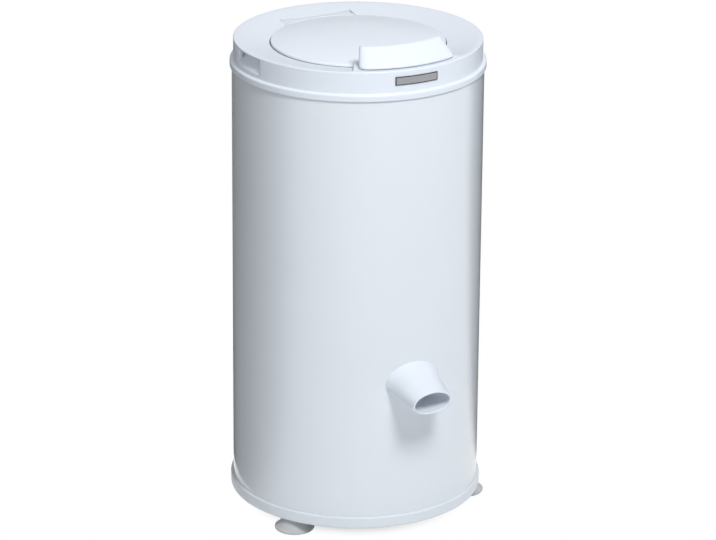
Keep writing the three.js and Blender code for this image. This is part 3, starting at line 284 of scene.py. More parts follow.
def slab(outline, low, high, edge):
    """A flat outline given thickness with round edges. At each station every point of the outline moves inwards by
    the station's inset along its normal, the mean of its two sides' normals."""
    sides = outline - np.roll(outline, 1, 0), np.roll(outline, -1, 0) - outline
    normal = unit(sum(unit(np.stack([-side[:, 1], side[:, 0]], 1))[0] for side in sides))[0]
    area = np.sum(outline[:, 0] * np.roll(outline[:, 1], -1) - np.roll(outline[:, 0], -1) * outline[:, 1])
    at, inset = rim_steps(low, high, edge)
    flat = outline + normal * (np.sign(area) * inset)[:, None, None]
    points = np.concatenate([flat, np.broadcast_to(at[:, None, None], (*flat.shape[:2], 1))], -1)
    rows, columns = points.shape[:2]
    first, last = np.arange(columns)[::-1], (rows - 1) * columns + np.arange(columns)
    return points, grid_faces(rows, columns, False, True), first, last


def box(low, high, edge):
    """A block with round edges: a rounded rectangle in the X-Y plane carried from its low to its high side."""
    (x0, y0, z0), (x1, y1, z1) = low, high
    return slab(oblong(x0, x1, y0, y1, edge * 1.5, 4), z0, z1, edge)


def lug(side, near, far, low, high, edge):
    """A box from near to far on one side of the middle plane, between two corners in y and z."""
    x0, x1 = sorted((side * near, side * far))
    return box((x0, *low), (x1, *high), edge)


def eye(side, near, far, low, high, radius, centre, edge):
    """A lug with a bar of the same length along it, round a pivot."""
    return lug(side, near, far, low, high, edge), cross_bar(radius, *sorted((side * near, side * far)), centre, edge)


def end_stations(reach, edge, steps, count):
    """Stations along a length of twice reach, closer together near its ends, and how far each is from its end."""
    ends = edge * (1 - np.cos(np.linspace(0, np.pi / 2, steps)))
    station = np.concatenate([ends, np.linspace(edge, 2 * reach - edge, count)[1:-1], 2 * reach - ends[::-1]])
    return station, np.minimum(station, 2 * reach - station)


def drawn_in(radius, d):
    """How far a quarter round draws a side in at a distance d from its end: R - sqrt(R^2 - (R - d)^2)."""
    left = np.clip(radius - d, 0, None)
    return radius - np.sqrt(radius**2 - left**2)


def bent_block(profile, angle):
    """A block from sections at a row of angles about the drum's axis. Each end closes on its own centre."""
    points = polar(profile[..., 0], angle[None], profile[..., 1])
    centre = points.mean(axis=0)
    first, last = (np.broadcast_to(end, (len(points), 1, 3)) for end in (centre[:1], centre[-1:]))
    points = np.concatenate([first, points, last], axis=1)
    return points, grid_faces(*points.shape[:2], True, False)


def arc_block(inner, outer, low, high, half_angle, edge, middle=0.0):
    """A block between two radii, two heights and two angles in degrees, whose section is drawn in at the ends."""
    middle_radius = (inner + outer) / 2
    reach = math.radians(half_angle) * middle_radius
    station, d = end_stations(reach, edge, 6, 48)
    inset = drawn_in(edge, d)
    profile = oblong(inner + inset, outer - inset, low + inset, high - inset, edge, 3)
    return bent_block(profile, (station - reach) / middle_radius + math.radians(middle))


def carve(piece, parts, sharp):
    """Cuts closed parts out of a piece, then marks its hard edges again."""
    for part in parts:
        tool = mesh_piece("cutter", [part], piece.data.materials[0])
        step = piece.modifiers.new("cut", "BOOLEAN")
        step.operation, step.solver, step.object = "DIFFERENCE", "EXACT", tool
        bpy.context.view_layer.objects.active = piece
        with bpy.context.temp_override(object=piece, active_object=piece, selected_editable_objects=[piece]):
            bpy.ops.object.modifier_apply(modifier=step.name)
        bpy.data.objects.remove(tool)
    piece.data.shade_smooth()
    piece.data.set_sharp_from_angle(angle=math.radians(sharp))


def stand_in(name, parts, body, slot, *nodes, finish=None, sharp=40.0, cuts=()):
    """A piece that rides on a body and stands for CAD nodes, less what is cut out of it."""
    piece = mesh_piece(name, parts, finish or FINISHES[slot], sharp)
    if cuts:
        carve(piece, cuts, sharp)
    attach(piece, body)
    if nodes:
        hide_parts(*nodes)


# ---- finishes


class Wire:
    """A number on its way through a material's nodes: +, - and * add the Math node that works them out."""

    def __init__(self, tree, socket):
        self.tree, self.socket = tree, socket

    def join(self, operation, *others):
        node = self.tree.nodes.new("ShaderNodeMath")
        node.operation = operation
        for slot, value in zip(node.inputs, (self, *others)):
            if isinstance(value, Wire):
                self.tree.links.new(value.socket, slot)
            else:
                slot.default_value = value
        return Wire(self.tree, node.outputs[0])

    def __add__(self, other):
        return self.join("ADD", other)

    def __sub__(self, other):
        return self.join("SUBTRACT", other)

    def __mul__(self, other):
        return self.join("MULTIPLY", other)

    def __rsub__(self, other):
        return self * -1.0 + other

    __radd__, __rmul__ = __add__, __mul__


class Finish:
    """One material: a Principled shader on the tree, and the one method that adds every other node."""

    def __init__(self, name, color, **sockets):
        self.material = bpy.data.materials.new(name)
        self.material.use_nodes = True
        self.tree = self.material.node_tree
        self.tree.nodes.clear()
        self.output = self.tree.nodes.new("ShaderNodeOutputMaterial")
        self.shader = self.tree.nodes.new("ShaderNodeBsdfPrincipled")
        self.tree.links.new(self.shader.outputs[0], self.output.inputs[0])
        self.place = Wire(self.tree, self.tree.nodes.new("ShaderNodeTexCoord").outputs["Object"])
        self.material.diffuse_color = (*color, 1)
        self.set(Base_Color=(*color, 1), **sockets)

    def set(self, **sockets):
        for key, value in sockets.items():
            self.plug(self.shader.inputs[key.replace("_", " ")], value)
        return self

    def plug(self, slot, value):
        if isinstance(value, Wire):
            self.tree.links.new(value.socket, slot)
        else:
            slot.default_value = value

    def node(self, kind, sockets, output=0, **settings):
        """A node of a type with its settings, then its sockets' values or links; gives one output as a Wire."""
        node = self.tree.nodes.new("ShaderNode" + kind)
        for key, value in settings.items():
            setattr(node, key, value)
        for key, value in sockets.items():
            self.plug(node.inputs[key], value)
        return Wire(self.tree, node.outputs[output])

    def noise(self, scale, detail=3.0, roughness=0.5, place=None):
        sockets = {"Vector": place or self.place, "Scale": scale, "Detail": detail, "Roughness": roughness}
        return self.node("TexNoise", sockets)

    def stretched(self, x, y, z):
        return self.node("Mapping", {"Vector": self.place, "Scale": (x, y, z)})

    def range(self, value, low, high, to_low=0.0, to_high=1.0):
        sockets = {"Value": value, "From Min": low, "From Max": high, "To Min": to_low, "To Max": to_high}
        return self.node("MapRange", sockets, interpolation_type="SMOOTHSTEP")

    def along(self, letter):
        """The piece's own coordinate along x, y or z, in metres."""
        return self.node("SeparateXYZ", {"Vector": self.place}, "xyz".index(letter))

    def from_above(self):
        """The place seen from above, in metres from the drum's axis."""
        sockets = {"Vector": self.place, "Location": (0, -AXIS[1] / 1000, 0), "Scale": (1, 1, 0)}
        return self.node("Mapping", sockets)

    def tint(self, amount, *colors):
        """A mix of two colours, each of them three numbers or a Wire."""
        first, second = (color if isinstance(color, Wire) else (*color, 1) for color in colors)
        return self.node("Mix", {0: amount, 6: first, 7: second}, 2, data_type="RGBA")

    def bump(self, height, distance, strength):
        sockets = {"Height": height, "Distance": distance, "Strength": strength}
        return self.set(Normal=self.node("Bump", sockets))


def shade(color, factor):
    return tuple(c * factor for c in color)


def enamel(name, color):
    """Gloss white paint on steel: a clear coat, the faint orange peel of sprayed paint, a breath of unevenness in
    the white, and a slightly duller, greyer strip where hands and floors wear the foot of the casing."""
    coat = {"Coat_Weight": 1.0, "Coat_Roughness": 0.09, "Coat_IOR": 1.6}
    finish = Finish(name, color, Roughness=0.3, Specular_IOR_Level=0.5, **coat)
    cloud = finish.noise(7.0, 2.0)
    worn = 1.0 - finish.range(finish.along("z") + finish.noise(30.0, 4.0) * 0.02, 0.045, 0.09)
    patchy = cloud * 0.6 + worn * 0.6
    finish.set(Base_Color=finish.tint(patchy, color, shade(color, 0.955)))
    finish.set(Roughness=0.26 + cloud * 0.05 + worn * 0.12 + finish.noise(900.0, 2.0) * 0.03)
    peel = finish.noise(260.0, 2.0, 0.45) + finish.noise(60.0, 1.0) * 0.6
    return finish.bump(peel, 0.00006, 0.35).material


def moulded(name, color, gloss, grain=0.00004, grain_scale=1500.0, seam=None):
    """Moulded plastic: fine spark-eroded grain in the bump, roughness that varies with handling, and a hint of the
    flow of the moulding in the colour. A seam is a height at which a line of painted shade 2.4 mm wide darkens the
    colour, standing in for the shadow in the gap beside the lid."""
    finish = Finish(name, color, Roughness=gloss, Specular_IOR_Level=0.5)
    flow = finish.noise(11.0, 3.0, place=finish.stretched(1, 1, 0.35))
    handled = finish.noise(38.0, 5.0, 0.62)
    tone = finish.tint(flow, color, shade(color, 0.965))
    # painted shade: round the seam height the colour is mixed towards a quarter of itself, for the shadow in the
    # lid's gap
    if seam is not None:
        shade_line_distance = (finish.along("z") - seam / 1000).join("ABSOLUTE")
        tone = finish.tint(finish.range(shade_line_distance, 0.0006, 0.0012, 0.6, 0.0), tone, shade(color, 0.25))
    finish.set(Base_Color=tone)
    finish.set(Roughness=gloss - 0.05 + handled * 0.12)
    speck = finish.noise(grain_scale, 2.0) + finish.noise(grain_scale * 0.3, 2.0) * 0.5
    return finish.bump(speck, grain, 0.5).material


def rubber(name, color, dust):
    """Matt rubber: pores in the bump, and pale dust that settles low down and in broad patches."""
    finish = Finish(name, color, Roughness=0.8, Specular_IOR_Level=0.35)
    dusty = finish.range(finish.noise(46.0, 6.0, 0.65) - finish.along("z") * 3.0, 0.35, 0.62)
    finish.set(Base_Color=finish.tint(dusty * 0.5, color, dust))
    finish.set(Roughness=0.72 + dusty * 0.16)
    return finish.bump(finish.noise(700.0, 4.0, 0.7), 0.00012, 0.6).material


def brushed(name, color, rough, stretch, grain=0.00003):
    """Steel with a grain: streaks of noise stretched along one way move the roughness and the bump."""
    finish = Finish(name, color, Metallic=1.0, Roughness=rough)
    streak = finish.noise(900.0, 3.0, 0.6, place=finish.stretched(*stretch))
    smear = finish.noise(16.0, 4.0)
    finish.set(Base_Color=finish.tint(smear * 0.5 + streak * 0.3, color, shade(color, 0.82)))
    finish.set(Roughness=rough - 0.1 + streak * 0.16 + smear * 0.1)
    return finish.bump(streak, grain, 0.6).material


def cast(name, color, rough, metal=1.0):
    """As-cast metal or varnished iron: a sand texture of two sizes in the bump and blotches in the roughness."""
    finish = Finish(name, color, Metallic=metal, Roughness=rough)
    blotch = finish.noise(40.0, 5.0, 0.6)
    finish.set(Base_Color=finish.tint(blotch, color, shade(color, 0.75)))
    finish.set(Roughness=rough - 0.12 + blotch * 0.24)
    return finish.bump(finish.noise(650.0, 3.0) + finish.noise(170.0, 2.0) * 0.6, 0.00015, 0.6).material


FINISHES = {
    "white_steel": enamel("white_enamel", (0.755, 0.795, 0.84)),
    "white_plastic": moulded("white_moulding", (0.765, 0.808, 0.87), 0.34),
    "base_plastic": moulded("base_moulding", (0.74, 0.78, 0.82), 0.38),
    "tub_plastic": moulded("tub_moulding", (0.62, 0.635, 0.64), 0.46, 0.00008, 900.0),
    "grey_rubber": rubber("foot_rubber", (0.50, 0.51, 0.52), (0.60, 0.60, 0.59)),
    "black_rubber": rubber("seal_rubber", (0.028, 0.028, 0.03), (0.12, 0.12, 0.11)),
    "stainless_steel": brushed("drum_steel", (0.60, 0.61, 0.62), 0.27, (1, 1, 0.03)),
    "zinc_steel": brushed("zinc_steel", (0.56, 0.57, 0.58), 0.38, (1, 0.2, 1), 0.00004),
    "cast_aluminium": cast("cast_aluminium", (0.48, 0.49, 0.50), 0.5),
    "steel_core": cast("core_steel", (0.14, 0.14, 0.15), 0.5, 0.7),
    "black_plastic": moulded("black_moulding", (0.022, 0.022, 0.024), 0.45),
    "grey_plate": moulded("grey_moulding", (0.24, 0.25, 0.26), 0.4),
    "friction_pad": cast("friction_pad", (0.07, 0.05, 0.04), 0.9, 0.0),
}
# the lid's moulding carries a line of painted shade 0.5 mm under the ring's level, for the shadow in the gap between
# lid and ring
LID_PLASTIC_PAINTED_SHADE = moulded("lid_moulding_painted_shade", (0.785, 0.825, 0.885), 0.34, seam=RING_LOW - 0.5)
PLATE_LENGTH, PLATE_HEIGHT = 0.0302, 0.0047  # half sizes of the plate's plain field, in metres
BLUR = 0.0001  # half width of the field's edge, in metres


def plate_metal():
    """The badge plate: fine lines brushed along a pale satin face, and a dark frame round it."""
    pale, grey, dark = (0.42, 0.43, 0.45), (0.26, 0.27, 0.28), (0.03, 0.032, 0.035)
    finish = Finish("badge_metal", pale, Metallic=0.85, Roughness=0.36)
    streak = finish.noise(700.0, 3.0, 0.6, place=finish.stretched(0.06, 0.06, 1.6))
    side = finish.along("x").join("ABSOLUTE")
    rise = (finish.along("z") - (PLATE_LOW + PLATE_TOP) / 2000).join("ABSOLUTE")
    ends = finish.range(side, PLATE_LENGTH - BLUR, PLATE_LENGTH + BLUR)
    border = ends.join("MAXIMUM", finish.range(rise, PLATE_HEIGHT - BLUR, PLATE_HEIGHT + BLUR))
    finish.set(Base_Color=finish.tint(border, finish.tint(streak * 0.6, pale, grey), dark))
    finish.set(Roughness=0.3 + streak * 0.15)
    return finish.bump(streak, 0.00003, 0.5).material


BADGE_METAL = plate_metal()


# ---- base, feet and casing


FOOT_ANGLES = {"left": -60, "right": 64, "rear": 180}
FOOT_CIRCLE = BODY - 17.5
FOOT_TOP = heights("foot_rear")[1]
INLET = sum(heights("cord_grommet")) / 2  # height of the cord inlet
MOUNT_ANGLES, MOUNT_CIRCLE = (0, 120, -120), 110  # the motor's mounts
CUP_ANGLE, CUP_CIRCLE = 150, BODY - 50.5  # the capacitor's cup
CASING_INNER = BODY - 1.0
DRAIN_SLOPE = math.tan(math.radians(12))
TUB_RADIUS = BODY - 9.5
DRAIN_HEIGHT = TUB_LOW + 19.0


def drain_line(forward):
    """Height of the drain's centre line at a distance in front of the drum's axis: it falls by tan 12 degrees."""
    return DRAIN_HEIGHT - (forward - TUB_RADIUS + 3) * DRAIN_SLOPE


def base_pan():
    """The pan's section carried round, with bosses for the feet, bosses and webs for the motor's mounts, and a cup
    for the capacitor."""
    wall, gap, floor, low = CASING_INNER - FIT, BODY + 0.05, PAN_LOW + SKIN, PAN_LOW + 1
    ledge, hole = RIM_TOP - 1, 28
    line = section([
        (RIM - 0.6, PAN_LOW, 1.6), (RIM, PAN_LOW + 2.5, 1.2), (RIM, RIM_TOP, 2.2), (gap, RIM_TOP, 0.1),
        (gap, floor, 0.3), (wall, floor, 0.3), (wall, ledge, 0.8), (wall - SKIN, ledge, 0.8),
        (wall - SKIN, floor, 2.5), (hole, floor, 1.2), (hole, PAN_LOW, 1.2),
    ], 4)
    web = box((-1.5, -166, low), (1.5, -121, PAN_LOW + 14), 0.6)
    parts = [turned(line, count=224), post(21.3, CUP_CIRCLE, CUP_ANGLE, low, PAN_LOW + 15, 0.8, 48, 18.3)]
    parts += [post(8.8, FOOT_CIRCLE, degrees, low, PAN_LOW + 20, 1.0, bore=3.3) for degrees in FOOT_ANGLES.values()]
    parts += [post(13, MOUNT_CIRCLE, degrees, low, PAN_LOW + 27, 1.2, bore=3.3) for degrees in MOUNT_ANGLES]
    return parts + [placed(web, turn=math.radians(degrees)) for degrees in MOUNT_ANGLES]


stand_in("pan", base_pan(), "chassis", "base_plastic", "base_pan")


def foot_bell():
    """A bell-shaped foot: its section runs from the sole up a flared skirt to a neck, and down the screw's recess."""
    return turned(section([
        (7, 0, 0.6), (26.3, 0, 0.9), (27.5, 1.5, 0.9), (27.5, 3.7, 1.2), (23.8, 6.3, 3.2), (20.5, 10.2, 7),
        (16.8, 14.6, 4), (15, FOOT_TOP, 0.9), (3.3, FOOT_TOP, 0.3), (3.3, 8, 0.4), (7, 8, 0.6),
    ]), count=72)


for label, degrees in FOOT_ANGLES.items():
    foot = placed(foot_bell(), polar(FOOT_CIRCLE, math.radians(degrees), 0))
    stand_in(f"foot_bell_{label}", [foot], "chassis", "grey_rubber", f"foot_{label}")


def casing():
    """The rolled sheet: outer and inner wall at BODY and CASING_INNER, hemmed edges, and a lock seam at the back. The
    seam stands 0.5 mm out for 1.1 degrees either side, is gone at 1.5, and fades towards the rim and the band."""
    angles = around(256, [176, 177, 178, 178.4, 178.6, 178.8, 179, 181, 181.2, 181.4, 181.6, 182, 183, 184])
    seam = 0.5 * (1 - smooth(np.abs(np.degrees(angles) - 180), 1.1, 1.5))
    low, high = PAN_LOW + 3.3, BAND_LOW + 3.5
    levels = [low, *np.linspace(low + 30, high - 30, 8), high]
    corners = [(BODY, z) for z in levels] + [(CASING_INNER, z) for z in levels[::-1]]
    corners = np.repeat(np.array(corners)[:, None], len(angles), 1)
    near_rim = 1 - smooth(corners[..., 1], RIM_TOP - 2, RIM_TOP + 12)
    near_band = smooth(corners[..., 1], BAND_LOW - 12, BAND_LOW - 1)
    corners[..., 0] += seam * (1 - np.maximum(near_rim, near_band))
    hem = [0.4, *[0] * 8, 0.4]
    return turned(rounded(corners, hem + hem, 2), angles)


drain_hole = bar(18, *[(0, -forward, drain_line(forward)) for forward in (TUB_RADIUS, BODY + 20)], count=48)
inlet_hole = bar(8, (0, BODY - 20, INLET), (0, BODY + 20, INLET))
stand_in("casing_shell", [casing()], "chassis", "white_steel", "outer_casing", cuts=[drain_hole, inlet_hole])

# ---- top cover and badge plate

PLATEAU_HALF = 30.0  # degrees either side of the front
POCKET_HALF, POCKET_REAR = 55.5, HINGE_BACK + 6.5
POCKET_HALF_ANGLE = 27.6  # degrees either side of the back
GRIP_HALF_ANGLE = math.degrees(math.asin(36.5 / COLLAR))  # of a recess 73 mm long


def cover_body():
    """The cover's section carried round, with its corners moved by the angle from the front.

    The grip recesses draw the collar in to GRIP_BACK within GRIP_HALF_ANGLE of each side. The plateau lifts the ring
    to the bead's level within PLATEAU_HALF of the front. The hinge pocket drops the ring to just above the lid's
    ledge at the back, out to the nearer of the lines y = POCKET_REAR and x = POCKET_HALF.
    """
    edges = [PLATEAU_HALF + d for d in (-0.5, -0.25, 0, 0.25, 0.5, 0.8)]
    grip = [90 + s * (GRIP_HALF_ANGLE + d) for s in (-1, 1) for d in (-0.9, -0.6, -0.35, -0.15, 0, 0.15, 0.35, 0.6)]
    pocket = [180 - d for d in (22.3, 22.6, 22.7, 22.8, 23.2, 25, 26.5, 27.3, 27.5, 27.65, 27.8, 28.1)]
    extra = np.array(edges + grip + pocket)
    angles = around(240, np.concatenate([extra, -extra]))
    t = (np.degrees(angles) + 180) % 360 - 180
    in_grip = 1 - smooth(np.abs(np.abs(t) - 90), GRIP_HALF_ANGLE - 0.7, GRIP_HALF_ANGLE + 0.1)
    raised = 1 - smooth(np.abs(t), PLATEAU_HALF - 0.35, PLATEAU_HALF + 0.35)
    behind = np.pi - np.abs(np.radians(t))
    reach = np.minimum(POCKET_REAR / np.cos(np.minimum(behind, 1.2)), POCKET_HALF / np.maximum(np.sin(behind), 1e-3))
    wall = np.clip(reach, WELL + 0.9, POCKET_REAR + 20)
    sunk = 1 - smooth(np.degrees(behind), POCKET_HALF_ANGLE - 0.15, POCKET_HALF_ANGLE + 0.15)
    level = 1 - sunk
    wall = wall * sunk + (WELL + 0.9) * level

    bead_z = COVER_TOP - 0.5 + 0.5 * raised
    inner_z = RING_LOW + (COVER_TOP - RING_LOW) * raised

    def line(radius):
        return bead_z + (inner_z - bead_z) * (BEAD - radius) / (BEAD - WELL)

    floor = LEDGE + 0.6
    drawn = (GRIP_BACK - COLLAR) * in_grip
    skirt, lap = CASING_INNER - FIT, BODY + FIT
    return turned(section([
        (BAND, BAND_LOW, 0.5),
        (BAND, BAND_TOP, 2.2),
        (COLLAR, BAND_TOP, 0.9),
        (COLLAR, GRIP_LOW, 1.5),
        (COLLAR + drawn, GRIP_TOP - 3, 2.0),
        (COLLAR + drawn, GRIP_TOP, 0.8),
        (COLLAR, GRIP_TOP, 0.7),
        (COLLAR, COVER_TOP, 3.0),
        (BEAD, bead_z, 2.5),
        (wall, line(wall), 0.9),
        (wall - 0.3 * level, floor * sunk + line(wall - 0.3) * level, 0.8),
        (WELL, floor * sunk + inner_z * level, 1.3),
        (WELL, LEDGE, 0.8),
        (THROAT, LEDGE, 2.0),
        (THROAT, SKIRT_LOW + 2.8, 1.0),
        (THROAT + SKIN, SKIRT_LOW + 2.8, 1.0),
        (THROAT + SKIN, LEDGE - SKIN, 0.6),
        (WELL + SKIN, LEDGE - SKIN, 0.6),
        (wall * sunk + (WELL + SKIN) * level, (LEDGE - 1) * sunk + (RING_LOW - 2.4) * level, 0.5),
        (wall + SKIN, (line(wall) - 3.2) * sunk + (RING_LOW - 2.2) * level, 0.3),
        (BEAD, COVER_TOP - 3.5, 1.0),
        (COLLAR - SKIN + drawn, COVER_TOP - 3.5, 0.8),
        (COLLAR - SKIN, GRIP_LOW - SKIN, 1.0),
        (COLLAR - SKIN, SKIRT_LOW, 0.5),
        (skirt, SKIRT_LOW, 0.5),
        (skirt, BAND_LOW + 3.8, 0.2),
        (lap, BAND_LOW + 3.8, 0.2),
        (lap, BAND_LOW, 0.4),
    ], 4), angles)


PLUNGER_XY = polar(PLUNGER_CIRCLE, math.radians(-18), 0)[:2]


def cover_fittings():
    """Eyes for the hinge rod, with bosses under the plateau and round the rim for the screws."""
    circle, top = CASING_INNER - FIT - 4.8, COVER_TOP - SKIN
    parts = [post(4, circle, degrees, SKIRT_LOW, top, 0.5, bore=1.9) for degrees in (60, 180, -100)]
    for inset, degrees in ((4.6, -27), (3.6, -7.5)):
        parts.append(post(4, PLUNGER_CIRCLE - inset, degrees, COVER_TOP - 26.8, COVER_TOP - 6, 0.5))
    for side in (-1, 1):
        parts += eye(side, 40, 48, (HINGE_BACK - 3, LEDGE + 1), (HINGE_BACK + 2, HINGE_HEIGHT), 3.5, HINGE, 0.5)
    return parts


hook_slot = box((-5.5, -PLUNGER_CIRCLE, COVER_TOP - 13), (5.5, -WELL - 3.5, COVER_TOP + 1), 1.0)
plunger_hole = bar(3.3, (*PLUNGER_XY, COVER_TOP - 14), (*PLUNGER_XY, COVER_TOP + 1))
stand_in("cover_shell", [cover_body()], "chassis", "white_plastic", "top_cover", cuts=[hook_slot, plunger_hole])
stand_in("cover_fittings", cover_fittings(), "chassis", "white_plastic")
plate = arc_block(COLLAR + FIT, COLLAR + 1.2, PLATE_LOW, PLATE_TOP, PLATE_HALF_ANGLE, 0.35)
stand_in("name_plate", [plate], "chassis", "grey_plate", "badge_plate", finish=BADGE_METAL)

# ---- spout


def spout():
    """The drain hood: an oval carried along the drain's line. At share s of the way from casing to mouth its half
    sizes are the root's and the mouth's mixed by a taper that is quick at first, its lower half is 0.94 as high, and
    its points lie on the casing's cylinder at s = 0 and on a plane square to the line at s = 1. The same oval, less
    the wall, runs back inside to the drain's bore."""
    root, mouth, wall, bore = np.array([41.0, 30.5]), np.array([29.0, 18.0]), 2.6, 14.0
    reach = BODY + 54.4
    turn = np.arange(128) * 2 * np.pi / 128
    ups = np.where(np.sin(turn) < 0, 0.94, 1.0)
    shares = [0, 0.02, 0.04, 0.08, 0.12, 0.16, 0.22, 0.28, 0.34, 0.4, 0.48, 0.56, 0.64, 0.72, 0.8, 0.86, 0.91, 0.945]
    tapers = np.interp(shares, [0, 0.04, 0.16, 0.4, 0.7, 0.94], [0, 0.08, 0.3, 0.5, 0.75, 0.95])
    fine = np.linspace(0, 0.945, 25)
    knots = np.interp(fine, shares, tapers)
    for _ in range(3):
        knots[1:-1] = (knots[:-2] + 2 * knots[1:-1] + knots[2:]) / 4
    # outside to the mouth, round its lip, and a little way back
    lip = np.linspace(0, np.pi, 10)
    taper = np.concatenate([knots, 0.95 + 0.05 * np.sin(lip / 2), [0.98, 0.96]])
    outside = np.concatenate([fine, 0.972 + 0.028 * np.sin(lip), [0.94, 0.9]])
    inset = np.concatenate([0 * knots, wall / 2 * (1 - np.cos(lip)), [wall, wall]])
    hood = root + (mouth - root) * taper[:, None] - inset[:, None]
    # the funnel inside, down to the bore, which runs on to the casing
    inside = np.linspace(0.85, 0.142, 14)
    funnel = hood[-1] + (bore - hood[-1]) * smooth(0.85 - inside, 0, 0.7)[:, None]
    half = np.concatenate([hood, funnel, np.full((2, 2), bore + 3.3)])
    share = np.concatenate([outside, inside, [0.14, 0]])[:, None]
    lowered = np.concatenate([0 * outside + 1, inside / 0.85, [0.14 / 0.85, 0]])[:, None]
    x = half[:, :1] * np.cos(turn)
    rise = half[:, 1:] * np.sin(turn) * ups
    on_casing = np.sqrt((BODY + 0.1) ** 2 - x**2)
    on_mouth = reach + rise * DRAIN_SLOPE
    centre = drain_line(BODY) + (drain_line(reach) - drain_line(BODY)) * share - 1.5 * lowered
    points = np.stack([x, -(on_casing * (1 - share) + on_mouth * share), centre + rise], -1)
    return points, grid_faces(*points.shape[:2], True, True)


stand_in("spout_hood", [spout()], "chassis", "white_plastic", "drain_spout", sharp=60)

# ---- lid

LID_RIM = LID_LOW + 8.5
LID_CROWN = 6.5
HOOD_HALF, HOOD_SLOPE = 55.1, 49.2  # half length of the flap, and where its ends begin to slope


def lid_shell():
    """The lid's section carried round: a crown of height LID_CROWN (1 - (r / R)^2.8) over a rounded rim."""
    r = np.linspace(0, LID - 4, 22)
    crown = LID_RIM + LID_CROWN * (1 - (r / LID) ** 2.8)
    rows = [(radius, z - 2.5, 0) for radius, z in zip(r[::3], crown[::3])]
    rows += [(LID - 3, LID_RIM - 2.2, 1.0), (LID - 3, LID_LOW, 0.3), (LID, LID_LOW, 0.5), (LID, LID_RIM + 0.1, 2.4)]
    rows += [(radius, z, 0) for radius, z in zip(r[::-1], crown[::-1])]
    parts = [turned(section(rows, 6), count=224)]
    for side in (-1, 1):
        parts += eye(side, 42, 49, (PIVOT_Y - 4, LID_RIM - 1.5), (PIVOT_Y + 4, PIVOT_HEIGHT), 4, PIVOT, 0.5)
        parts += eye(side, 28, 37, (HINGE_BACK - 13, HINGE_HEIGHT - 2.6), (HINGE_BACK, HINGE_HEIGHT + 2.6), 3.5,
                     HINGE, 0.6)
    return [*parts, hinge_hood()]


def hinge_hood():
    """The flap behind the lid: a section in y and z, carried along x. Its front follows the lid's rim, and its rear
    slopes to the ring's level round the hinge's axis, no further than 6.2 mm from it. Past the hinge's eyes both
    ends slope down to the ring as well."""
    x = HOOD_HALF * np.sin(np.linspace(-np.pi / 2, np.pi / 2, 61))
    fall = 2.9 * smooth(np.abs(x), HOOD_SLOPE, HOOD_HALF - 0.1)
    front = np.sqrt((LID - 1.5) ** 2 - x**2) - HINGE_BACK
    line = section([(front, 5.7, 0.3), (np.minimum(front + 1.5, -1.0), 5.7, 0.3), (2.6, 5.05, 2.5), (4.9, 3.75, 0.5),
                    (4.3, 2.9, 0.4), (2.2, 3.5, 1.0), (-0.9, 3.9, 0.5), (front, 3.9, 0.3)], 3)
    y, z = HINGE_BACK + line[..., 0], HINGE_HEIGHT + line[..., 1] - fall
    rows, columns = y.shape
    first = np.arange(rows) * columns
    return np.stack([0 * y + x, y, z], -1), grid_faces(rows, columns, True, False), first, (first + columns - 1)[::-1]


def lid_panel():
    """The inner panel's section carried round: a dish with ribs pressed as rings 0.6 mm deep in its floor."""
    dish, low = THROAT - 2.5, LEDGE - 3
    r = np.linspace(0, dish - 10, 60)
    ribs = 0.6 * (0.5 + 0.5 * np.cos(2 * np.pi * r / 22)) * smooth(dish - 8 - r, 0, 10)
    edge = LID - 3.3
    rows = [(radius, low + rib, 0) for radius, rib in zip(r, ribs)]
    rows += [(dish - 6, low, 4.0), (dish, LID_LOW, 2.0), (edge, LID_LOW, 0.3), (edge, LID_LOW + 2.5, 0.3),
             (dish - 1, LID_LOW + 2.5, 1.0), (dish - 7, low + 2.5, 3.0), (0, low + 2.5, 0)]
    return turned(section(rows), count=160)


stand_in("lid_shell", lid_shell(), "lid", "white_plastic", "lid_outer", finish=LID_PLASTIC_PAINTED_SHADE)
stand_in("lid_panel", [lid_panel()], "lid", "tub_plastic", "lid_inner")
seal = turned(oblong(THROAT + 1, LID - 4, LEDGE + 0.3, LEDGE + 2.7, 1.1, 5), count=160)
stand_in("lid_seal", [seal], "lid", "black_rubber", "lid_gasket")
rod = cross_bar(2, -49, 49, HINGE, 0.6)
stand_in("hinge_rod", [rod], "chassis", "zinc_steel", "lid_hinge_pin")

# ---- handle and its hook

HANDLE_INNER, HANDLE_OUTER = LID - 2.5, COLLAR - 8.4
HANDLE_HALF = 27.0  # degrees either side of the front
HOOK_FRONT, HOOK_LOW = LID + 12.5, COVER_TOP - 27.4


def ridge(wall, low):
    """The handle's solid form, or with a wall the room inside it. Its section is a ridge whose inner face leans out
    and whose front slopes down to the plateau. Towards either end the outer side is drawn in by a quarter round of
    radius 11, the inner side by one of 5, the top by one of 4 and the foot by one of 1.2."""
    middle = (HANDLE_INNER + HANDLE_OUTER) / 2
    reach = math.radians(HANDLE_HALF) * middle - wall
    station, d = end_stations(reach, 11, 14, 72)
    front, back = drawn_in(11, d), drawn_in(5, d)
    inner, outer = HANDLE_INNER + wall + back, HANDLE_OUTER - wall - front
    foot, top = drawn_in(1.2, d), HANDLE_TOP - 1.1 * wall - drawn_in(4, d)
    heel = HANDLE_LOW + 2.6 - 0.5 * wall + foot
    profile = section([(inner, low + foot, 0.9), (outer, low + foot, 0.9), (outer, heel, 2.0),
                       (HANDLE_INNER + 19.6 - 0.35 * wall - 0.35 * front, top, 3.2),
                       (HANDLE_INNER + 10 + 0.9 * wall + 0.2 * back, top, 2.2), (inner, heel, 3.0)])
    return bent_block(profile, (station - reach) / middle)


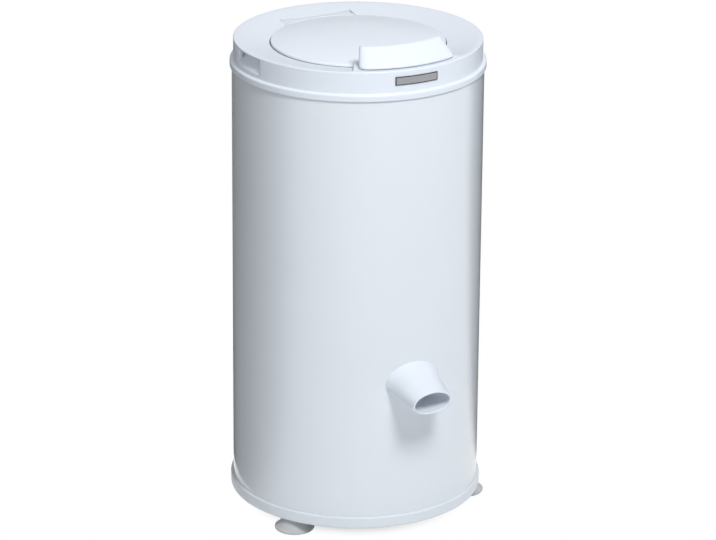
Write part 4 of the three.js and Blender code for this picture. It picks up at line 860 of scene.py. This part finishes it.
def handle_fittings():
    """Pivot sockets, the toe that holds the plunger down, and the cheeks that hold the hook."""
    x, y = PLUNGER_XY
    parts = []
    for side in (-1, 1):
        parts.append(cross_bar(4, side * 50.4, side * 54.3, PIVOT))
        parts.append(lug(side, 3.3, 6.3, (-HOOK_FRONT - 2, COVER_TOP + 4), (-HOOK_FRONT + 6, HANDLE_TOP - 6), 0.4))
    return [*parts, box((x - 2.5, y - 2.5, HANDLE_LOW), (x + 2.5, y + 2.5, HANDLE_LOW + 8), 0.4)]


notches = [lug(side, 40, 51, (-HANDLE_INNER - 4, HANDLE_LOW - 20), (-HANDLE_INNER + 30, PIVOT_HEIGHT + 6), 0.5)
           for side in (-1, 1)]
stand_in("handle_grip", [ridge(0, HANDLE_LOW)], "handle", "white_plastic", "lid_handle",
         cuts=[ridge(3, HANDLE_LOW - 6), *notches])
stand_in("handle_fittings", handle_fittings(), "handle", "white_plastic")

hook = [box((-3, -HOOK_FRONT, HOOK_LOW), (3, -HOOK_FRONT + 5, HANDLE_TOP - 9.5), 0.5),
        box((-3, -HOOK_FRONT + 1, HOOK_LOW), (3, -WELL - 3.6, HOOK_LOW + 4), 0.5)]
stand_in("hook", hook, "handle", "zinc_steel", "latch_hook")
for label, side in (("right", 1), ("left", -1)):
    rod = cross_bar(2, side * 41.5, side * 53.6, PIVOT, 0.4)
    stand_in(f"pivot_rod_{label}", [rod], "lid", "zinc_steel", f"handle_pin_{label}")

# ---- drum, cap, splash ring and grommet

DRUM_RADIUS = TUB_RADIUS - 38
CONE_TOP = DRUM_LOW + 34
LIP = DRUM_RADIUS - 13
HOLE_COLUMNS, HOLE_ROWS, HOLE_RADIUS = 40, 18, 2.6


def drum_basket():
    """The drum as one closed skin 1.2 mm thick.

    Its wall is a lattice of cells. Each cell has 16 points round its border, at quarters of its sides, 16 round its
    hole outside, 16 inside and its border again inside. Every second row starts half a cell on, where its quarter
    points still meet the next row's. The lip above and the floor with its cone below are sections carried round
    through the same angles.
    """
    sheet, quarters = 1.2, 4 * HOLE_COLUMNS
    low, high = DRUM_LOW + 22.0, DRUM_TOP - 18.0
    steps = np.arange(4)
    right = np.concatenate([steps, 4 + 0 * steps, 4 - steps, 0 * steps])
    up = np.concatenate([0 * steps, steps, 4 + 0 * steps, 4 - steps])
    column, row = np.meshgrid(np.arange(HOLE_COLUMNS), np.arange(HOLE_ROWS), indexing="ij")
    first = (4 * column + 2 * (row % 2))[..., None]
    border_angle = ((first + right) % quarters) * 2 * np.pi / quarters
    border_height = low + (4 * row[..., None] + up) * (high - low) / (4 * HOLE_ROWS)
    turn = np.radians(np.arange(16) * 22.5 - 135)
    hole_angle = ((first + 2) % quarters) * 2 * np.pi / quarters + HOLE_RADIUS * np.cos(turn) / DRUM_RADIUS
    hole_height = low + (4 * row[..., None] + 2) * (high - low) / (4 * HOLE_ROWS) + HOLE_RADIUS * np.sin(turn)
    inner = DRUM_RADIUS - sheet
    rings = np.stack([
        polar(DRUM_RADIUS, border_angle, border_height), polar(DRUM_RADIUS, hole_angle, hole_height),
        polar(inner, hole_angle, hole_height), polar(inner, border_angle, border_height),
    ], axis=2)
    cells = HOLE_COLUMNS * HOLE_ROWS
    cell_faces = grid_faces(4, 16, False, True)[None] + 64 * np.arange(cells)[:, None, None]
    angles = np.arange(quarters) * 2 * np.pi / quarters
    lip = section([
        (DRUM_RADIUS, high, 0), (DRUM_RADIUS, DRUM_TOP, 5), (LIP, DRUM_TOP, 3), (LIP, DRUM_TOP - 8, 0.5),
        (LIP + sheet, DRUM_TOP - 8, 0.5), (LIP + sheet, DRUM_TOP - sheet, 1.8), (inner, DRUM_TOP - sheet, 3.8),
        (inner, high, 0),
    ], closed=False)
    floor = section([
        (inner, low, 0), (inner, DRUM_LOW + sheet, 6.8), (51, DRUM_LOW + sheet, 7), (21, CONE_TOP + sheet, 4),
        (6.3, CONE_TOP + sheet, 0.3), (6.3, CONE_TOP, 0.3), (20, CONE_TOP, 5), (50, DRUM_LOW, 6),
        (DRUM_RADIUS, DRUM_LOW, 8), (DRUM_RADIUS, low, 0),
    ], 6, closed=False)
    points, faces, start = [rings.reshape(-1, 3)], [cell_faces.reshape(-1, 4)], 64 * cells
    for line in (lip, floor):
        points.append(polar(line[:, :1], angles[None], line[:, 1:]).reshape(-1, 3))
        faces.append(grid_faces(len(line), quarters, False, True) + start)
        start += len(line) * quarters
    return np.concatenate(points), np.concatenate(faces)


stand_in("drum_basket", [drum_basket()], "spinner", "stainless_steel", "drum", sharp=50)


def hub_dome():
    """The cap's section carried round, its side drawn in by 0.6 (0.5 + 0.5 cos 12 a) for finger grip."""
    angles = around(144)
    low, high = CONE_TOP + 1.5, CONE_TOP + 18.5
    side = 19 - 0.6 * (0.5 + 0.5 * np.cos(12 * angles))
    return turned(section([
        (0, high, 0), (7, high - 0.3, 0), (9, high - 0.6, 3), (15.5, high - 3.4, 4), (side, high - 8, 3),
        (side, low, 0.5), (17, low, 0.4), (17, high - 8, 2), (14, high - 5, 2), (9, high - 2.4, 2), (0, high - 2, 0),
    ], 4), angles)


stand_in("hub_dome", [hub_dome()], "spinner", "grey_plate", "hub_cap")

splash = turned(oblong(THROAT + 2, 162, SKIRT_LOW, SKIRT_LOW + 2.5, 1.1, 4))
stand_in("splash_lip", [splash], "chassis", "tub_plastic", "splash_ring")

inlet = [bar(12, (0, BODY + FIT, INLET), (0, BODY + 2.9, INLET), 1.1, 64, 4.0),
         bar(7.7, (0, CASING_INNER - 6, INLET), (0, BODY + 0.9, INLET), 0.6, 64, 4.0)]
stand_in("inlet_gland", inlet, "chassis", "black_rubber", "cord_grommet")

# ---- CAD pieces that stay, with their finishes

for entry in frame["record"]["subparts"]:
    node = frame["nodes"][entry["node"]]
    node.data.materials.clear()
    node.data.materials.append(FINISHES[entry["material_slot"]])

# ---- studio

DISTANCE, LENS = 5.0, 180.35  # in metres and in millimetres
AZIMUTH, ELEVATION, ROLL = math.radians(-27.4825), math.radians(20.2891), 0.00784
SIDEWAYS, AIM_HEIGHT = 0.002135, 0.334193  # where it aims, beside the axis and over the floor
AIM = Vector((SIDEWAYS * math.cos(AZIMUTH), AXIS[1] / 1000 + SIDEWAYS * math.sin(AZIMUTH), AIM_HEIGHT))
BACK = Vector(polar(math.cos(ELEVATION), AZIMUTH, math.sin(ELEVATION)))

camera_data = bpy.data.cameras.new("camera")
camera_data.lens, camera_data.sensor_width, camera_data.clip_end = LENS, 36, 50
camera = bpy.data.objects.new("camera", camera_data)
camera.location = AIM + BACK * DISTANCE
camera.rotation_euler = (BACK.to_track_quat("Z", "Y").to_matrix() @ Matrix.Rotation(ROLL, 3, "Z")).to_euler()
bpy.context.scene.collection.objects.link(camera)
bpy.context.scene.camera = camera


def lamp(name, place, size, power, color=(1, 1, 1), aim=0.4):
    """A soft square lamp at a place in metres, turned to a height over the frame's origin."""
    data = bpy.data.lights.new(name, "AREA")
    data.size, data.energy, data.color = size, power, color
    light = bpy.data.objects.new(name, data)
    light.location = place
    light.rotation_euler = (Vector(place) - Vector((0, 0, aim))).to_track_quat("Z", "Y").to_euler()
    bpy.context.scene.collection.objects.link(light)


lamp("overhead", (0.1, -0.3, 2.6), 1.8, 4.0, (0.85, 0.92, 1))
lamp("front", (-0.15, -2.0, 2.8), 0.8, 67, (0.96, 0.975, 0.99), aim=0.35)
lamp("left", (-2.3, -0.5, 1.3), 1.2, 5)
lamp("right", (2.3, -0.1, 1.3), 1.2, 5)
lamp("rear", (-0.8, 2.8, 0.8), 0.9, 20)


CARD_NEAR, CARD_FAR, CARD_TOP = 230, 1500, 1000
CARD_LOW, CARD_SHEET = 2, 4


def dark_card(middle, half_angle, soft, grey):
    """A matt grey sheet on the floor and up a low wall beside the object. Only its reflection shows, and that fades
    out over the last degrees: its alpha goes with the dot product of its middle's direction and a point's."""
    finish = Finish("card_grey", (grey, grey, grey), Roughness=0.9)
    flat = finish.node("VectorMath", {0: finish.from_above()}, operation="NORMALIZE")
    ahead = polar(1, math.radians(middle), 0)
    facing = finish.node("VectorMath", {0: flat, 1: ahead}, 1, operation="DOT_PRODUCT")
    fade = (math.cos(math.radians(half_angle)), math.cos(math.radians(half_angle - soft)))
    finish.set(Alpha=finish.range(facing, *fade))
    rise = CARD_LOW + CARD_SHEET
    parts = [arc_block(CARD_NEAR, CARD_FAR, CARD_LOW, rise, half_angle, 1.5, middle),
             arc_block(CARD_FAR - CARD_SHEET, CARD_FAR, rise, CARD_TOP, half_angle, 1.5, middle)]
    card = mesh_piece("dark_card", parts, finish.material)
    card.visible_camera = False


dark_card(-150, 74, 60, 0.32)
dark_card(124, 40, 32, 0.15)


def background_rays(tree):
    """1 for the rays that see the background: from the camera, off gloss and through glass."""
    paths = tree.nodes.new("ShaderNodeLightPath").outputs
    names = ("Is Camera Ray", "Is Glossy Ray", "Is Transmission Ray")
    camera_ray, glossy, through = (Wire(tree, paths[name]) for name in names)
    return camera_ray + glossy + through


SHADOW_RADII = (0.09, 0.165)  # metres from the drum's axis over which the matt floor goes over to white


def backdrop_material():
    """White to the camera, to reflections and through glass, at strength 1, and a plain pale matt to the lamps. Under
    the object it goes over to the matt alone, which holds the shadow."""
    finish = Finish("studio_white", (0.86, 0.87, 0.88), Roughness=0.9)
    from_axis = finish.node("VectorMath", {0: finish.from_above()}, 1, operation="LENGTH")
    seen = background_rays(finish.tree) * finish.range(from_axis, *SHADOW_RADII)
    white = finish.node("Emission", {"Color": (1, 1, 1, 1)})
    matt = Wire(finish.tree, finish.shader.outputs[0])
    finish.plug(finish.output.inputs[0], finish.node("MixShader", {0: seen, 1: matt, 2: white}))
    return finish.material


def sweep_floor():
    """A floor disc of radius 6 m, whose rings' radii go with the square of even steps."""
    radius = np.linspace(0, 1, 40)[:, None] ** 2 * 6000
    points = polar(radius, around(96)[None], 0.0)
    return points, grid_faces(*points.shape[:2], False, True)


floor = mesh_piece("studio_floor", [sweep_floor()], backdrop_material())
if floor.data.polygons[0].normal.z < 0:
    floor.data.flip_normals()

world = bpy.data.worlds.new("studio_sky")
bpy.context.scene.world = world
world.use_nodes = True
sky = world.node_tree
sky.nodes.clear()
output = sky.nodes.new("ShaderNodeOutputWorld")
mixed = sky.nodes.new("ShaderNodeMixShader")
sky.links.new(background_rays(sky).socket, mixed.inputs[0])
DAYLIGHT, WHITE = ((0.93, 0.96, 1, 1), 0.34), ((1, 1, 1, 1), 1.0)
for slot, (color, strength) in enumerate((DAYLIGHT, WHITE), 1):
    background = sky.nodes.new("ShaderNodeBackground")
    background.inputs[0].default_value, background.inputs[1].default_value = color, strength
    sky.links.new(background.outputs[0], mixed.inputs[slot])
sky.links.new(mixed.outputs[0], output.inputs[0])

bpy.context.scene.view_settings.view_transform = "Standard"
